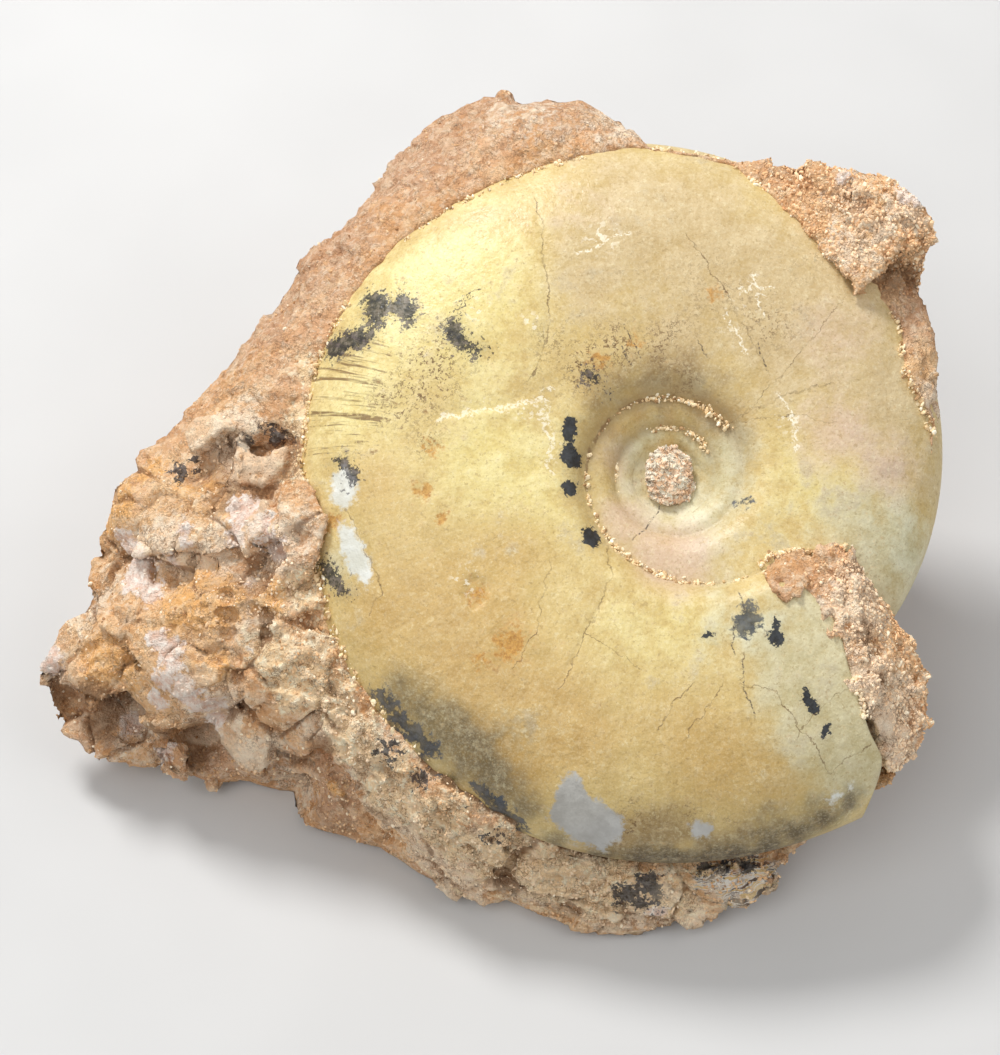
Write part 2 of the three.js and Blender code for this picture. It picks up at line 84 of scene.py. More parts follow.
# Stains of the shell, as outlines on the slab: u, v
SHELL_BLOTS = {
    "dendrites": [
        [(-52.3, 27.7), (-52.1, 31.3), (-49.9, 31.9), (-47.8, 30.0), (-45.7, 31.1), (-44.3, 29.6),
         (-43.5, 26.5), (-44.5, 24.7), (-46.3, 27.5), (-48.4, 27.0), (-49.4, 24.8), (-51.5, 25.5)],
        [(-58.7, 23.3), (-55.6, 24.7), (-52.6, 24.8), (-50.4, 23.8), (-51.8, 21.7), (-54.3, 21.3),
         (-56.4, 20.1), (-59.0, 21.2)],
        [(-37.0, 25.1), (-36.0, 25.9), (-35.4, 24.3), (-34.6, 22.1), (-32.4, 21.0), (-31.2, 20.0),
         (-32.9, 19.1), (-35.3, 20.3), (-37.3, 22.2), (-38.2, 23.8)],
        [(-14.6, 15.9), (-13.0, 16.8), (-11.3, 14.8), (-11.0, 13.4), (-13.0, 14.0),
         (-14.4, 15.0)],
        [(-56.8, 1.6), (-55.2, 1.7), (-54.4, 0.6), (-56.2, 0.3)],
        [(-54.2, -1.2), (-53.4, -0.8), (-53.2, -2.0), (-54.0, -2.4)],
        [(-59.9, -15.5), (-58.4, -15.6), (-56.3, -18.4), (-54.4, -21.4), (-55.6, -21.2),
         (-58.0, -18.5)],
    ],
    "black": [
        [(-17.6, 8.5), (-15.5, 8.0), (-15.7, 5.7), (-16.7, 3.9), (-15.2, 2.0), (-15.0, 0.0),
         (-17.6, -0.7), (-18.5, 1.3), (-17.8, 3.8), (-18.5, 6.1)],
        [(-18.5, -3.2), (-17.3, -2.2), (-15.7, -2.9), (-16.1, -4.4), (-17.2, -5.6),
         (-18.3, -5.0)],
        [(-15.4, -11.3), (-14.0, -10.1), (-12.4, -11.1), (-11.8, -12.9), (-12.9, -14.2),
         (-14.5, -13.6)],
        [(15.9, -26.4), (16.8, -25.9), (17.3, -26.9), (17.0, -28.3), (17.8, -29.3),
         (18.1, -30.6), (17.0, -31.1), (15.7, -30.6), (15.2, -29.4), (16.2, -28.3)],
        [(4.3, -29.2), (5.5, -28.5), (6.4, -28.9), (6.3, -30.2), (5.6, -29.5)],
        [(20.8, -38.3), (21.4, -37.4), (22.0, -38.6), (23.2, -40.3), (23.5, -41.9),
         (22.9, -43.0), (21.9, -41.7), (20.5, -40.1)],
        [(23.9, -44.3), (25.3, -43.6), (25.4, -45.3), (24.7, -44.9), (24.2, -46.1),
         (24.0, -45.2)],
    ],
    "film": [
        [(-50.6, -36.6), (-48.6, -36.8), (-46.5, -39.0), (-44.1, -41.8), (-41.6, -44.2),
         (-39.2, -46.4), (-38.9, -48.4), (-41.2, -48.0), (-43.8, -46.0), (-46.3, -43.4),
         (-48.6, -40.2)],
        [(-33.5, -52.5), (-31.0, -53.2), (-28.5, -55.6), (-25.4, -58.2), (-24.0, -60.2),
         (-26.0, -60.6), (-29.0, -58.6), (-31.5, -56.4)],
        [(9.7, -26.2), (11.0, -24.5), (12.2, -23.3), (13.1, -24.5), (14.5, -25.8), (14.7, -27.3),
         (13.4, -28.7), (12.0, -30.0), (10.8, -29.3), (9.8, -28.0)],
        [(11.4, -5.6), (13.2, -4.6), (14.4, -5.8), (12.6, -6.8)],
    ],
    "white": [
        [(-57.7, -1.4), (-55.4, 0.5), (-52.8, -1.8), (-53.1, -5.6), (-55.1, -7.2), (-57.3, -5.2)],
        [(-56.2, -9.1), (-53.7, -9.7), (-51.3, -13.9), (-50.2, -18.3), (-51.2, -20.9),
         (-53.7, -17.7), (-55.8, -13.5)],
        [(25.0, -55.6), (26.8, -54.4), (28.0, -54.9), (26.6, -56.6)],
        [(28.6, -53.3), (29.4, -53.0), (29.2, -53.8)],
    ],
    "spar": [
        [(-21.0, -58.5), (-18.3, -52.3), (-16.5, -51.4), (-13.7, -55.4), (-8.5, -58.6),
         (-8.3, -61.3), (-11.6, -63.9), (-16.8, -62.1)],
        [(2.6, -59.8), (5.2, -59.2), (6.8, -60.1), (5.4, -61.7), (3.0, -61.8)],
    ],
}

# Cracks and pale scratches of the shell, as lines on the slab: u, v
SHELL_LINES = {
    "crack_a": [
        [(-22.7, 47.2), (-21.4, 41.2), (-21.1, 33.6), (-20.4, 26.2), (-20.8, 23.5),
         (-21.5, 19.8), (-23.9, 14.9)],
        [(-10.6, -12.7), (-10.4, -18.5), (-11.5, -22.9), (-14.6, -28.6), (-16.8, -33.4),
         (-18.8, -37.2)],
        [(-54.1, -7.8), (-51.6, -13.0), (-49.9, -17.8), (-48.7, -21.7), (-50.2, -24.3)],
        [(2.1, -37.6), (-0.6, -40.5), (-2.3, -43.8)],
        [(11.6, -37.3), (16.9, -38.9), (18.7, -42.2), (20.7, -45.1), (22.9, -47.4),
         (25.5, -51.5), (31.2, -47.3)],
        [(4.1, 40.2), (9.4, 31.0), (11.0, 27.8), (15.2, 20.3)],
        [(10.7, 8.3), (18.6, 11.8), (26.3, 14.4)],
        [(11.2, -33.3), (11.2, -35.5)],
    ],
    "inked": [
        [(9.8, -28.0), (9.6, -29.6), (9.7, -31.2)],
        [(11.1, -34.4), (11.3, -37.4), (11.9, -39.6), (12.6, -41.6)],
        [(-1.0, -4.6), (-2.1, -6.5), (-3.0, -7.9), (-3.8, -9.2)],
        [(-4.2, -9.7), (-4.9, -10.4)], [(-5.2, -10.9), (-5.7, -11.5)],
        [(-37.2, 25.9), (-35.8, 26.6)], [(-36.6, 27.3), (-34.9, 28.0)],
        [(-35.7, 28.8), (-33.9, 29.4)], [(-34.7, 30.2), (-33.1, 30.7)],
        [(28.1, -28.4), (28.9, -30.1), (29.4, -31.9)],
        [(-7.0, 23.5), (-6.2, 22.0), (-5.3, 19.9)], [(-8.0, 20.2), (-7.2, 18.6)],
        [(15.6, 20.4), (16.0, 19.0), (16.6, 17.6)], [(5.6, 20.9), (6.0, 20.2)],
        [(11.2, -23.0), (11.4, -23.9)],
    ],
    "crack_b": [
        [(-20.5, -17.4), (-22.2, -24.9), (-23.7, -29.9), (-26.0, -33.7)],
        [(7.4, -38.3), (4.5, -41.9), (2.0, -45.6)],
        [(30.5, -36.9), (26.2, -38.9), (22.3, -43.0), (20.4, -45.1)],
        [(29.8, 29.4), (23.2, 20.7), (16.9, 13.5), (11.5, 8.4)],
        [(11.7, 7.9), (18.1, 9.1), (27.1, 8.1)],
        [(-13.8, -29.1), (-6.4, -33.8)],
    ],
    "scratch": [
        [(-14.7, 37.9), (-11.6, 39.2), (-7.5, 40.9)],
        [(14.9, 32.9), (15.2, 30.2), (15.8, 27.3)],
        [(10.2, 26.4), (11.6, 23.4), (12.8, 20.6)],
        [(18.6, 11.8), (20.4, 9.2), (21.5, 6.4), (21.1, 3.8)],
        [(13.2, 30.9), (17.1, 31.3)],
    ],
    "flake": [
        [(-38.4, 7.9), (-33.0, 9.0), (-27.1, 9.9), (-20.7, 12.9), (-21.5, 9.2), (-20.7, 5.0),
         (-20.0, -0.6)],
    ],
}
OPEN_CRACKS = SHELL_LINES["crack_a"][:3]
FLAKE_EDGE = SHELL_LINES["flake"][0]

# Chip in the shell, and its small pits: u, v, size, depth
CHIP = [
    (-32.6, -18.6), (-30.5, -20.5), (-30.8, -23.5), (-33.1, -25.2), (-34.8, -22.8),
    (-34.4, -19.8),
]
SHELL_PITS = [
    (-41.5, -4.4, 1.6, 0.35), (-40.4, 3.0, 1.3, 0.3), (-38.7, -9.2, 1.1, 0.25),
    (-56.9, -9.0, 1.2, 0.3), (-26.8, -30.5, 1.8, 0.2),
]

# Soft colour zones of the shell, some of them partly or wholly painted shade: u, v, size, strength
SHELL_ZONES = {
    "sunny": [
        (-40, 27, 15, 0.95), (-51, 12, 12, 0.6), (-30, 38, 10, 0.6), (26, 0, 13, 0.6),
        (-30, 2, 13, 0.75), (-22, -6, 9, 0.5), (-8, -30, 12, 0.45), (3, -24, 9, 0.4),
        (-3, 4, 9, 0.3),
    ],
    "beige": [
        (-8, 46, 15, 0.85), (10, 38, 16, 0.95), (27, 28, 14, 0.95), (37, 13, 11, 0.85),
        (2, 23, 11, 0.8), (43, -2, 8, 0.6), (20, 16, 10, 0.6), (-12, 32, 9, 0.5),
    ],
    "ochre": [
        (-45, -22, 12, 0.85), (-36, -34, 13, 0.9), (-18, -44, 13, 0.85), (-26, -14, 9, 0.5),
        (-50, -2, 7, 0.5), (6, -48, 11, 0.7), (-40, 10, 7, 0.5), (-12, 14, 6, 0.5),
        # The small spots about 10 mm from the axis are partly painted shade in the second groove
        (-30, -26, 8, 0.5), (16, -52, 9, 0.5), (-5, 9.6, 2.4, 0.8), (-8.4, 6.4, 2.4, 0.8),
        (-29, -43, 7, 0.8), (-27, -49, 7, 0.8), (12, 8, 4, 0.5), (14, 2, 3.5, 0.4), (10, 8, 3, 0.8), (12.5, 6, 2.6, 0.6), (5.5, 12.4, 2.6, 0.6),
        (0, 10, 2, 0.7), (6.8, 8.6, 2.2, 0.6), (-9.6, 1, 1.8, 0.5), (8.4, 5, 2, 0.5),
    ],
    "greenish": [
        (34, -18, 12, 0.95), (40, -28, 9, 0.9), (25, -40, 12, 0.8), (30, -50, 7, 0.8),
        (4, -2, 9, 0.8), (10, 4, 5, 0.5), (-55, -16, 6, 0.6), (33, -6, 8, 0.4),
        (20, -34, 9, 0.7), (28, -44, 8, 0.7), (16, -26, 6, 0.5), (26, -30, 6, 0.7),
    ],
    "rosy": [
        (0, -15, 8, 0.95), (-8, -8, 5, 0.8), (27, 6, 7, 0.8), (37, 0, 6, 0.6),
        (-15.8, 47.5, 7, 0.4), (29.4, 22, 8, 0.5), (-9, 2, 4, 0.6),
    ],
    # A smoky stain round the black film, and painted shade along the lower rim
    "smoky_and_rim_shade": [
        (-45, -37, 4.5, 0.7), (-41, -42, 5, 0.85), (-37, -45, 5, 0.8), (-33, -47, 6, 0.5),
        (-30, -52, 4, 0.8), (-25, -57, 4, 0.7), (-19, -62, 3.5, 0.6), (-12, -65, 3, 0.7),
        (-4, -65.5, 3.4, 0.8), (4, -66, 4, 0.9), (11, -64.5, 3.6, 0.9), (17, -62, 3.4, 0.85),
        (22, -60, 3.2, 0.8), (26, -57.6, 2.8, 0.8), (30, -55, 2.4, 0.6), (-52, 22, 5, 0.35),
        (15, -58.5, 3.5, 0.4), (22, -56, 3.2, 0.35),
    ],
    "shaded": [
        (-12, -65.5, 2.4, 0.8), (-6, -66, 3.0, 0.9), (0, -66, 3.2, 0.95), (6, -66, 3.2, 0.95),
        (11, -65, 3.0, 0.95), (16, -63.2, 2.8, 0.9), (20.5, -61.4, 2.6, 0.9),
        (25, -59, 2.2, 0.85), (29, -56.6, 1.8, 0.7), (-19, -63.8, 1.8, 0.7),
        (-26, -61, 1.8, 0.8), (-31, -58, 1.8, 0.7), (-37, -52.5, 1.8, 0.8),
        (-42, -48.5, 1.8, 0.8), (-47, -43.5, 1.6, 0.7), (-51, -38, 1.5, 0.6),
    ],
    # Partly a brown stain, partly painted shade: on the coil's inner wall at the top, in its grooves and along the
    # lower rim
    "umber_and_shade": [
        (-3, 17.6, 4.2, 0.85), (-9, 15.4, 4.0, 0.75), (3, 18.2, 4.0, 0.8), (-13, 11, 3, 0.5),
        (9, 16, 3.4, 0.6), (13, 12, 3, 0.35), (-6, 10.4, 2.2, 0.45), (-1, 11.2, 2.2, 0.5),
        (4.5, 10.4, 2.2, 0.5), (9, 8, 2.4, 0.55), (-9.6, 6, 1.8, 0.35), (-10.8, 1, 1.6, 0.3),
        (-12, -62, 4.2, 0.7), (-6, -61, 4.2, 0.75), (0, -61.5, 4.4, 0.8), (6, -63, 4, 0.8),
        (12, -61.5, 3.4, 0.65), (18, -60, 3.2, 0.6), (-36, -44, 5, 0.5), (-30, -48, 5, 0.5),
        (-26, -53, 4.5, 0.5), (-21, -57, 4, 0.4), (-16, -64.5, 3, 0.6), (0, -57, 3, 0.3),
    ],
    "milky": [
        (11, 4, 5, 0.8), (9, -5, 5, 0.6), (3, -8, 4, 0.9), (-3, -7.5, 4, 0.8), (-7, -3, 3.5, 0.7),
        (-6.5, 3, 3.5, 0.9), (-3, 7, 3.5, 0.7), (7.5, -1, 3, 0.7), (6, -14, 5, 0.5),
        (-9, 12, 3, 0.5), (-2, 14, 3, 0.6), (4.5, 14, 3, 0.6), (40, -12, 8, 0.6),
        (42, -14, 6, 0.7), (8, -22, 5, 0.5), (13, -27, 5, 0.6), (7, -30, 5, 0.3),
    ],
    "striped": [(-56, 14, 8, 0.95), (-53, 21, 6, 0.8), (-58, 5, 5, 0.7), (-50, 8, 4, 0.4)],
    "flecked": [
        (-41, 14, 6.5, 0.95), (-47, 11, 5, 0.6), (-14, 17, 5, 0.8), (-9, 21, 5, 0.8),
        (-2, 22, 6, 0.7), (6, 26, 6, 0.5), (10, 33, 7, 0.45), (-4, 34, 7, 0.35),
        (16, 24, 6, 0.5), (-20, 20, 5, 0.5), (-42, 4, 4, 0.6), (3, 14, 4, 0.5),
        (-22, 12, 4, 0.5), (-53, -12, 4, 0.4), (24, 36, 6, 0.4), (-38, 21, 7, 0.45),
        (-8, -59, 5, 0.6), (2, -58, 4, 0.5), (10, -59, 4, 0.4),
    ],
    "flaky": [
        (-12, 40, 4, 0.7), (14, 31, 4, 0.6), (20, 8, 3.5, 0.7), (-24, 10, 3.5, 0.8),
        (-20, 2, 3, 0.7), (-32, 10, 3, 0.5), (-34, -20, 3, 0.7), (-24, 25, 3, 0.5),
        (10, 24, 4, 0.6), (-42, 22, 3, 0.3), (-33, 27, 2.5, 0.7),
    ],
    "rust": [
        (-26.8, -30.5, 3.0, 0.95), (-32.1, -33.6, 1.8, 0.7), (-41.5, -4.4, 2.0, 0.9),
        (-40.4, 3.0, 1.8, 0.85), (-38.7, -9.2, 1.4, 0.8), (-56.9, -9.0, 1.8, 0.8),
        (-32.6, -22.0, 2.2, 0.75), (-12, 18.5, 2, 0.8), (-6, 22, 2, 0.6), (8, 30, 2, 0.5),
    ],
}

# Outline of the block on the slab, anticlockwise from the right: u, v, w
OUTLINE = [
    (46.0, 3.0, -6), (46.6, 6.5, -2), (47.2, 9.5, 2.6), (47.6, 14.5, 3.8), (47.4, 21.0, 4.4),
    (46.2, 27.0, 4.6), (45.0, 33.0, 4.2), (44.9, 37.5, 5), (46.4, 40.2, 9), (46.6, 43.0, 11), (44.9, 46.0, 11.5),
    (41.1, 49.0, 11.5), (38.0, 52.0, 10.5), (31.3, 53.6, 9), (26.3, 55.2, 8), (18.5, 55.6, 6),
    (12.7, 56.9, 4), (4.9, 58.7, 3), (-2.1, 59.8, 2), (-5.2, 63.8, 1), (-10.1, 67.6, 0),
    (-14.9, 70.7, -1), (-20.5, 70.9, -2), (-24.5, 71.0, -2), (-28.5, 72.5, -2.5),
    (-32.0, 72.4, -3), (-36.6, 70.0, -4), (-41.3, 67.5, -5), (-45.3, 63.6, -5), (-51.4, 54.9, -6),
    (-56.8, 48.6, -6), (-65.0, 42.0, -6), (-67.8, 36.5, -7), (-71.5, 30.5, -7), (-79.8, 20.7, -9),
    (-84.6, 15.4, -9), (-90.5, 9.9, -10), (-99.0, 1.5, -11), (-99.5, -3.6, -12),
    (-101.3, -11.0, -13), (-102.7, -19.0, -13), (-106.7, -23.9, -14), (-111.4, -31.0, -15.5),
    (-110.5, -36.5, -17), (-107.5, -41.2, -18), (-101.0, -47.2, -18), (-93.2, -47.9, -19),
    (-87.0, -48.0, -20), (-80.5, -50.8, -20), (-74.5, -50.2, -21), (-67.0, -52.4, -21),
    (-64.2, -58.5, -20), (-57.7, -61.1, -20), (-50.5, -62.0, -19), (-43.0, -67.0, -17.5),
    (-35.4, -71.0, -16), (-27.0, -71.8, -15.5), (-19.1, -76.0, -14), (-12.0, -77.6, -14),
    (-4.6, -77.9, -14), (3.0, -76.3, -13), (10.5, -72.8, -12), (18.3, -69.2, -12),
    (20.5, -65.0, -11), (28.0, -59.0, -9), (36.0, -53.0, -6), (39.5, -50.5, -2.6),
    (42.3, -46.2, -1.6), (43.8, -41.0, 0), (44.5, -36.0, 0), (43.0, -32.5, 0), (39.6, -28.5, -1),
    (37.6, -24.0, -3), (41.0, -17.0, -6), (43.8, -10.5, -6.5), (45.5, -4.0, -6.5),
]

# Where the stone meets the shell: angle round the axis in degrees, radius, w
CONTACT = [
    (-22, 43, -7), (0, 44, -8), (6, 46.4, 0), (9, 46.4, 4.6), (14, 45.8, 5.6), (18.5, 45.0, 6.4),
    (23, 44.6, 7.0), (28, 46.1, 6.7), (32.7, 48.3, 5.6), (38.5, 48.3, 6.3), (42, 47, 5),
    (49, 49, 5), (60, 51.5, 5), (69, 53.5, 5), (74.5, 55.4, 5.5), (79, 58.4, 3), (85, 59.1, 3),
    (93, 59.6, 3.8), (101, 58.9, 5), (108, 58.9, 5.7), (115, 59.3, 5.8), (126, 60.5, 5.4),
    (132, 61.4, 4.8), (138, 62.2, 4.2), (144, 62.9, 3.7), (152, 63.7, 3), (164, 63.9, 2.9),
    (176, 62.9, 3.9), (189, 62.6, 4.2), (199, 62.4, 4.5), (205, 63.3, 3.6), (217, 63.8, 3.5),
    (225, 63.8, 3.4), (233, 64.3, 2.4), (240, 64.1, 1), (249, 64.8, -3), (257, 65, -6),
    (270, 64.3, -8), (297, 62, -9), (307, 61, -8), (314, 52, -8), (330, 43, -8),
]

# Share of the outline that the flat base keeps, by angle round the middle of the base
BASE_SHARE = [
    (0, 0.75), (45, 0.78), (90, 0.82), (135, 0.8), (165, 0.72), (180, 0.65), (205, 0.62),
    (215, 0.76), (225, 0.88), (240, 0.93), (265, 0.96), (283, 0.9), (292, 0.8), (304, 0.72),
    (320, 0.7), (345, 0.74),
]

# Steps down the walls: share of the height, and share of the way in to the base
WALL_STEPS = [
    (0.12, 0.03), (0.3, 0.14), (0.5, 0.32), (0.7, 0.56), (0.88, 0.82), (0.96, 0.94), (1, 1.04),
]
WALL_HOLLOWS = 0.035
WALL_SPREAD = 14  # columns over which the rim is evened out on the way down
BLOCK_COLUMNS, FACE_RINGS, WALL_RINGS = 480, 44, 36
STONE_VOXEL, STONE_TRIANGLES = 0.55, 180000

# Ledges of the stone's face: drop, reach, and the line of its edge with the low side on the right
LEDGES = [
    (6.0, 8.0, [(-102.5, -35.5), (-100.6, -36.5), (-97.5, -37.2),
                (-93.5, -37.7), (-91.6, -40.7), (-88.3, -43), (-83.0, -42.3), (-79.2, -42.8),
                (-76.7, -44.9), (-74.8, -48.9), (-70, -50), (-66.0, -49.8)]),
    (3.0, 5.0, [(-66.0, -50.5), (-63.4, -49.1), (-61.3, -47.4), (-59.6, -45.5), (-57.9, -47.4),
                (-55.9, -50.2), (-52.8, -55.2), (-49.5, -58.6), (-45.3, -61.2), (-41.7, -64.2)]),
    (2.0, 5.0, [(-99.0, -9.8), (-95.1, -11.9), (-89.8, -13.4), (-81.9, -14.4), (-74.1, -14.2),
                (-68.0, -11.9)]),
]

# Swellings and hollows of the stone's face: u, v, radius, height
SWELLINGS = [
    (-88, -6, 9, 2.6), (-76, -22, 9, 2.2), (-100, -28, 9, 2.4), (-86, -34, 8, 2.4),
    (-70, -36, 7, 2.4), (-74, 22, 8, 2), (-55, 52, 7, 1.6), (-22, 66, 8, 1.8), (-58, -47, 6, 2),
    (-40, -58, 6, 1.8), (-5, -71, 6, 1.4), (-70, 5, 5, -3), (-83, 1, 5, -2.4),
    (-93, -39, 6, -2.2), (-80, -43, 5, -2.4), (-62, -54, 4, -2.6), (-88, -18, 4, -1.6),
]

# Wedge of stone that laps over the shell at the upper right, with an overhang below
UPPER_WEDGE = [
    (12, 56.7, 3.6), (15.6, 53.2, 6.1), (20.2, 49.8, 7.2), (24.6, 46.6, 8.0), (28.6, 42.6, 9.2),
    (31.2, 39.4, 9.6), (32.4, 35.6, 10), (13.5, 56.9, 4), (18.5, 55.6, 7), (26.3, 55.2, 8.6), (31.3, 53.6, 10.2),
    (38, 51.8, 11.3), (41.1, 49, 12.6), (44.9, 46, 12.6), (46.6, 43, 12), (46.4, 40.3, 10.8),
    (41.6, 38.2, 12.4), (36.6, 35, 12.2), (32.9, 31.4, 11), (36, 42, 13.4), (41, 44, 13.4),
    (33, 35, 4), (44, 42, 3), (42, 47, -6), (20, 52, -6), (35, 38, -4),
]

# Stone that fills the mouth of the last whorl: a crest with a long face falling right
MOUTH_WEDGE = [
    (15.8, -15.2, 10.4), (20.8, -15, 11.6), (25.3, -15.2, 13), (29.6, -14, 14.2),
    (15.4, -17.6, 10.5), (20, -21.6, 13), (24.0, -22.4, 14.6), (26.2, -26.4, 15), (28.2, -31, 14.8),
    (29.6, -36.6, 14.2), (32, -42.6, 12.6), (34.4, -47.2, 10), (36.2, -50.8, 5),
    (38.5, -50.6, 1.4), (31.6, -16.4, 12), (35.4, -22.6, 8.6), (39, -27.6, 4.6), (43, -32.6, 3),
    (44.5, -36.5, 2.6), (43.6, -41, 2.4), (42, -46.4, 1.6), (20, -17, -4), (37, -26, -9),
    (40, -37, -11), (36, -46, -10), (29, -38, -9), (33, -37, 14.4), (30, -25, 15.2),
]

# Loose-edged chunks on the block: each is the hull of its corner points
CHUNKS = [
    [(-63, 1, 5.4), (-60, -3.5, 8.2), (-58.2, -8.3, 9.1), (-59.2, -14, 8.6), (-61, -18.5, 6.4),
     (-67, -21, 5), (-71, -13, 5.2), (-69, -4, 4.6), (-64, -9, 9.2), (-64, -14, 8.8),
     (-66, 1, 0), (-62, -19, 0), (-73, -12, 0)],
    [(-90, -45, -13), (-83, -44, -13), (-84, -50.5, -17), (-89, -50, -17.5), (-86, -46, -24)],
    [(-103, -33, -7), (-95, -30, -6), (-93, -36, -8), (-101, -40, -10), (-98, -35, -18)],
    [(31.2, 39, 9.6), (32.6, 33.5, 10), (31.8, 29.8, 10), (33.2, 31.4, 11), (36.8, 35, 12.2),
     (41.6, 38.2, 12.4), (36, 42, 12), (33, 35, 6), (36, 34, 6)],
    [(31.5, 30.6, 9.4), (33, 31.2, 9.0), (35, 31.6, 8.0), (38.3, 31.2, 7.0), (33.5, 35, 9),
     (37, 37, 8), (41, 33.5, 4), (35, 36, 0), (40, 30, 0), (33, 33, 0)],
    [(15.0, -17.8, 11.8), (15.0, -20, 13.0), (15.8, -22.6, 14.2), (18.3, -23.8, 14.9),
     (21.5, -22.6, 15.4), (23, -20, 14.8), (20, -16.5, 13.0), (18.3, -21.5, 15.5),
     (17, -19, 14.6), (18, -20, 9)],
    [(13, 56.0, 4.2), (20, 55.8, 6.8), (26, 55.3, 8.2), (31, 53.8, 9.2), (30, 52, 9), (20, 53, 6.6),
     (22, 54, 0), (30, 53, 0)],
    [(25, -30, 8), (26.5, -38, 8), (28.5, -44, 6), (30, -49, 3), (30, -50.5, -3), (35.5, -49.5, 1),
     (35, -44, 9), (31, -38, 12), (28, -30, 12), (30, -40, -6), (34, -48, -6)],
    [(6, -66.5, -6.5), (16.5, -65.5, -7.2), (18.6, -68.2, -9), (14, -72, -11),
     (6, -72.6, -11.5), (1, -70, -9), (9, -68, -18)],
]

# Where crumbs cling to the shell's seam: turns back from and to, spread, share that is left
SEAM_CRUMBS = [
    (0.02, 0.12, 0.3, 0.4), (0.10, 0.24, 0.75, 0.9), (0.24, 0.36, 0.5, 0.55),
    (0.38, 0.50, 0.4, 0.3), (0.50, 0.60, 0.45, 0.4), (0.58, 0.76, 0.9, 0.95),
    (1.56, 1.78, 0.8, 0.95), (1.30, 1.40, 0.3, 0.2),
]
# The same along the rim of the block on the shell: angle from and to
EDGE_CRUMBS = [
    (24, 36, 0.5, 0.3), (70, 92, 0.4, 0.25), (104, 138, 0.4, 0.2), (150, 176, 0.7, 0.4),
    (176, 196, 1.2, 0.75), (196, 212, 1.0, 0.6), (212, 230, 1.8, 0.35),
    (8, 24, 0.8, 0.7),
]
# The same along the edges of the stone that laps over the shell: u, v
WEDGE_CRUMBS = [
    [(15.4, 52.8), (20.0, 49.4), (24.4, 46.2), (28.3, 42.2), (31.0, 39.0)],
    [(23.4, -23.4), (26.2, -26.6), (28.0, -31), (29.4, -36.6), (31.6, -42.6)],
    [(14.8, -16.6), (17, -14.9), (20.8, -14.4), (25.3, -14.6), (29.4, -13.6)],
    [(15.2, -18), (18.5, -21.5), (22.5, -23.5), (25, -27.5)],
]

# Sediment in the middle of the coil: angle in degrees, radius, w of the rough top
PLUG_EDGE = [
    (0, 4.6, 5.2), (40, 4.7, 5.9), (75, 5.2, 5.5), (110, 4.9, 6.1), (150, 4.2, 5.5),
    (190, 4.1, 6), (235, 5.2, 5.2), (270, 5.8, 5.2), (305, 5.8, 4.6), (335, 5.4, 4.7),
]
PLUG_TOP, PLUG_FOOT = 6.6, 1.0

# Dents and lumps of the stone: u, v, w, size, rise
STONE_DENTS = [
    (-72.3, 6.0, 0, 1.7, -2.4), (-66.4, 5.3, 0.4, 1.8, -2.6), (-69.5, 7.5, 0, 1.4, -1.6),
    (-81.8, 2.9, -2.4, 2.4, -1.4), (-70.5, -3.0, 3.5, 2.6, -1.8), (-74, 1.0, 1, 2.0, -1.5),
    (-62.8, -12.4, 9, 2.1, -2.6), (-93.4, -9.8, -4.1, 2.4, -2.4), (-96, -4, -8, 4, 1.8),
    (-98.4, -38.4, -12.5, 3.0, -3.6), (-95.4, -38.8, -14.5, 3.2, -4.2),
    (-92.4, -40.0, -15.5, 2.6, -3.2), (-85.0, -43.8, -16.5, 2.8, -3.6),
    (-82.0, -43.4, -17.0, 3.2, -4.4), (-78.6, -43.2, -16.0, 2.8, -3.6),
    (-60.2, -45.6, -8.5, 2.2, -4.0), (-64.2, -47.6, -12.5, 2.4, -3.4),
    (-67.5, -48.8, -16, 2.4, -2.8), (-58.5, -47.5, -7, 1.6, -2.4), (-104, -35.5, -15, 2.4, -2),
    (38.6, 35.0, 7, 2.5, -3.0), (41.9, 34.7, 4.5, 2.6, -3.0), (36.0, 32.6, 7, 2.0, -2.2),
    (29.6, -28.8, 14.2, 1.6, -1.3), (17.2, -22.3, 14, 0.7, -0.8), (-85, -33, -2, 2.6, 1.2),
    (-81.5, -38, -4, 2.6, 1.2), (-88, -27, -1, 2.2, 0.9), (-86, -15.5, -1, 1.8, -1.2),
]

# Smooth scoop of stone beside the mouth: u, v, w, size
SMOOTH_SCOOP = (18.8, -20.4, 13.6, 4.5)

# Grooves broken into the stone's face: width, depth, and a line on the slab
STONE_GROOVES = [
    (0.9, 1.5, [(-75.9, -20.6), (-75.1, -25.8), (-73.9, -33.6), (-71.6, -41.4)]),
    (1.3, 1.3, [(-82.2, -12.8), (-88.3, -19.9), (-96.8, -27.0), (-102.8, -29.6)]),
    (0.8, 1.4, [(-74, -14), (-80, -15), (-86, -14.6), (-91, -11)]),
    (0.7, 1.3, [(31.6, -35.1), (36.8, -37.5), (41.7, -35.7)]),
    (0.6, 1.2, [(33, -42), (36.2, -38.2), (37.6, -33.5)]),
    (1.0, 1.8, [(-57.9, -48.4), (-55.9, -51.0), (-52.8, -56.0), (-49.5, -59.4), (-45.3, -62.0)]),
    (0.8, 1.0, [(-68, -24), (-66.5, -31), (-62, -38), (-60, -43)]),
    (0.9, 1.2, [(-98, -20), (-94, -25), (-93, -31), (-90, -36)]),
    (0.8, 1.0, [(-79, -3), (-78, 3), (-74, 9)]),
    (0.5, 1.4, [(17.8, -20.6), (17.3, -21.9), (16.6, -23.0)]),
]
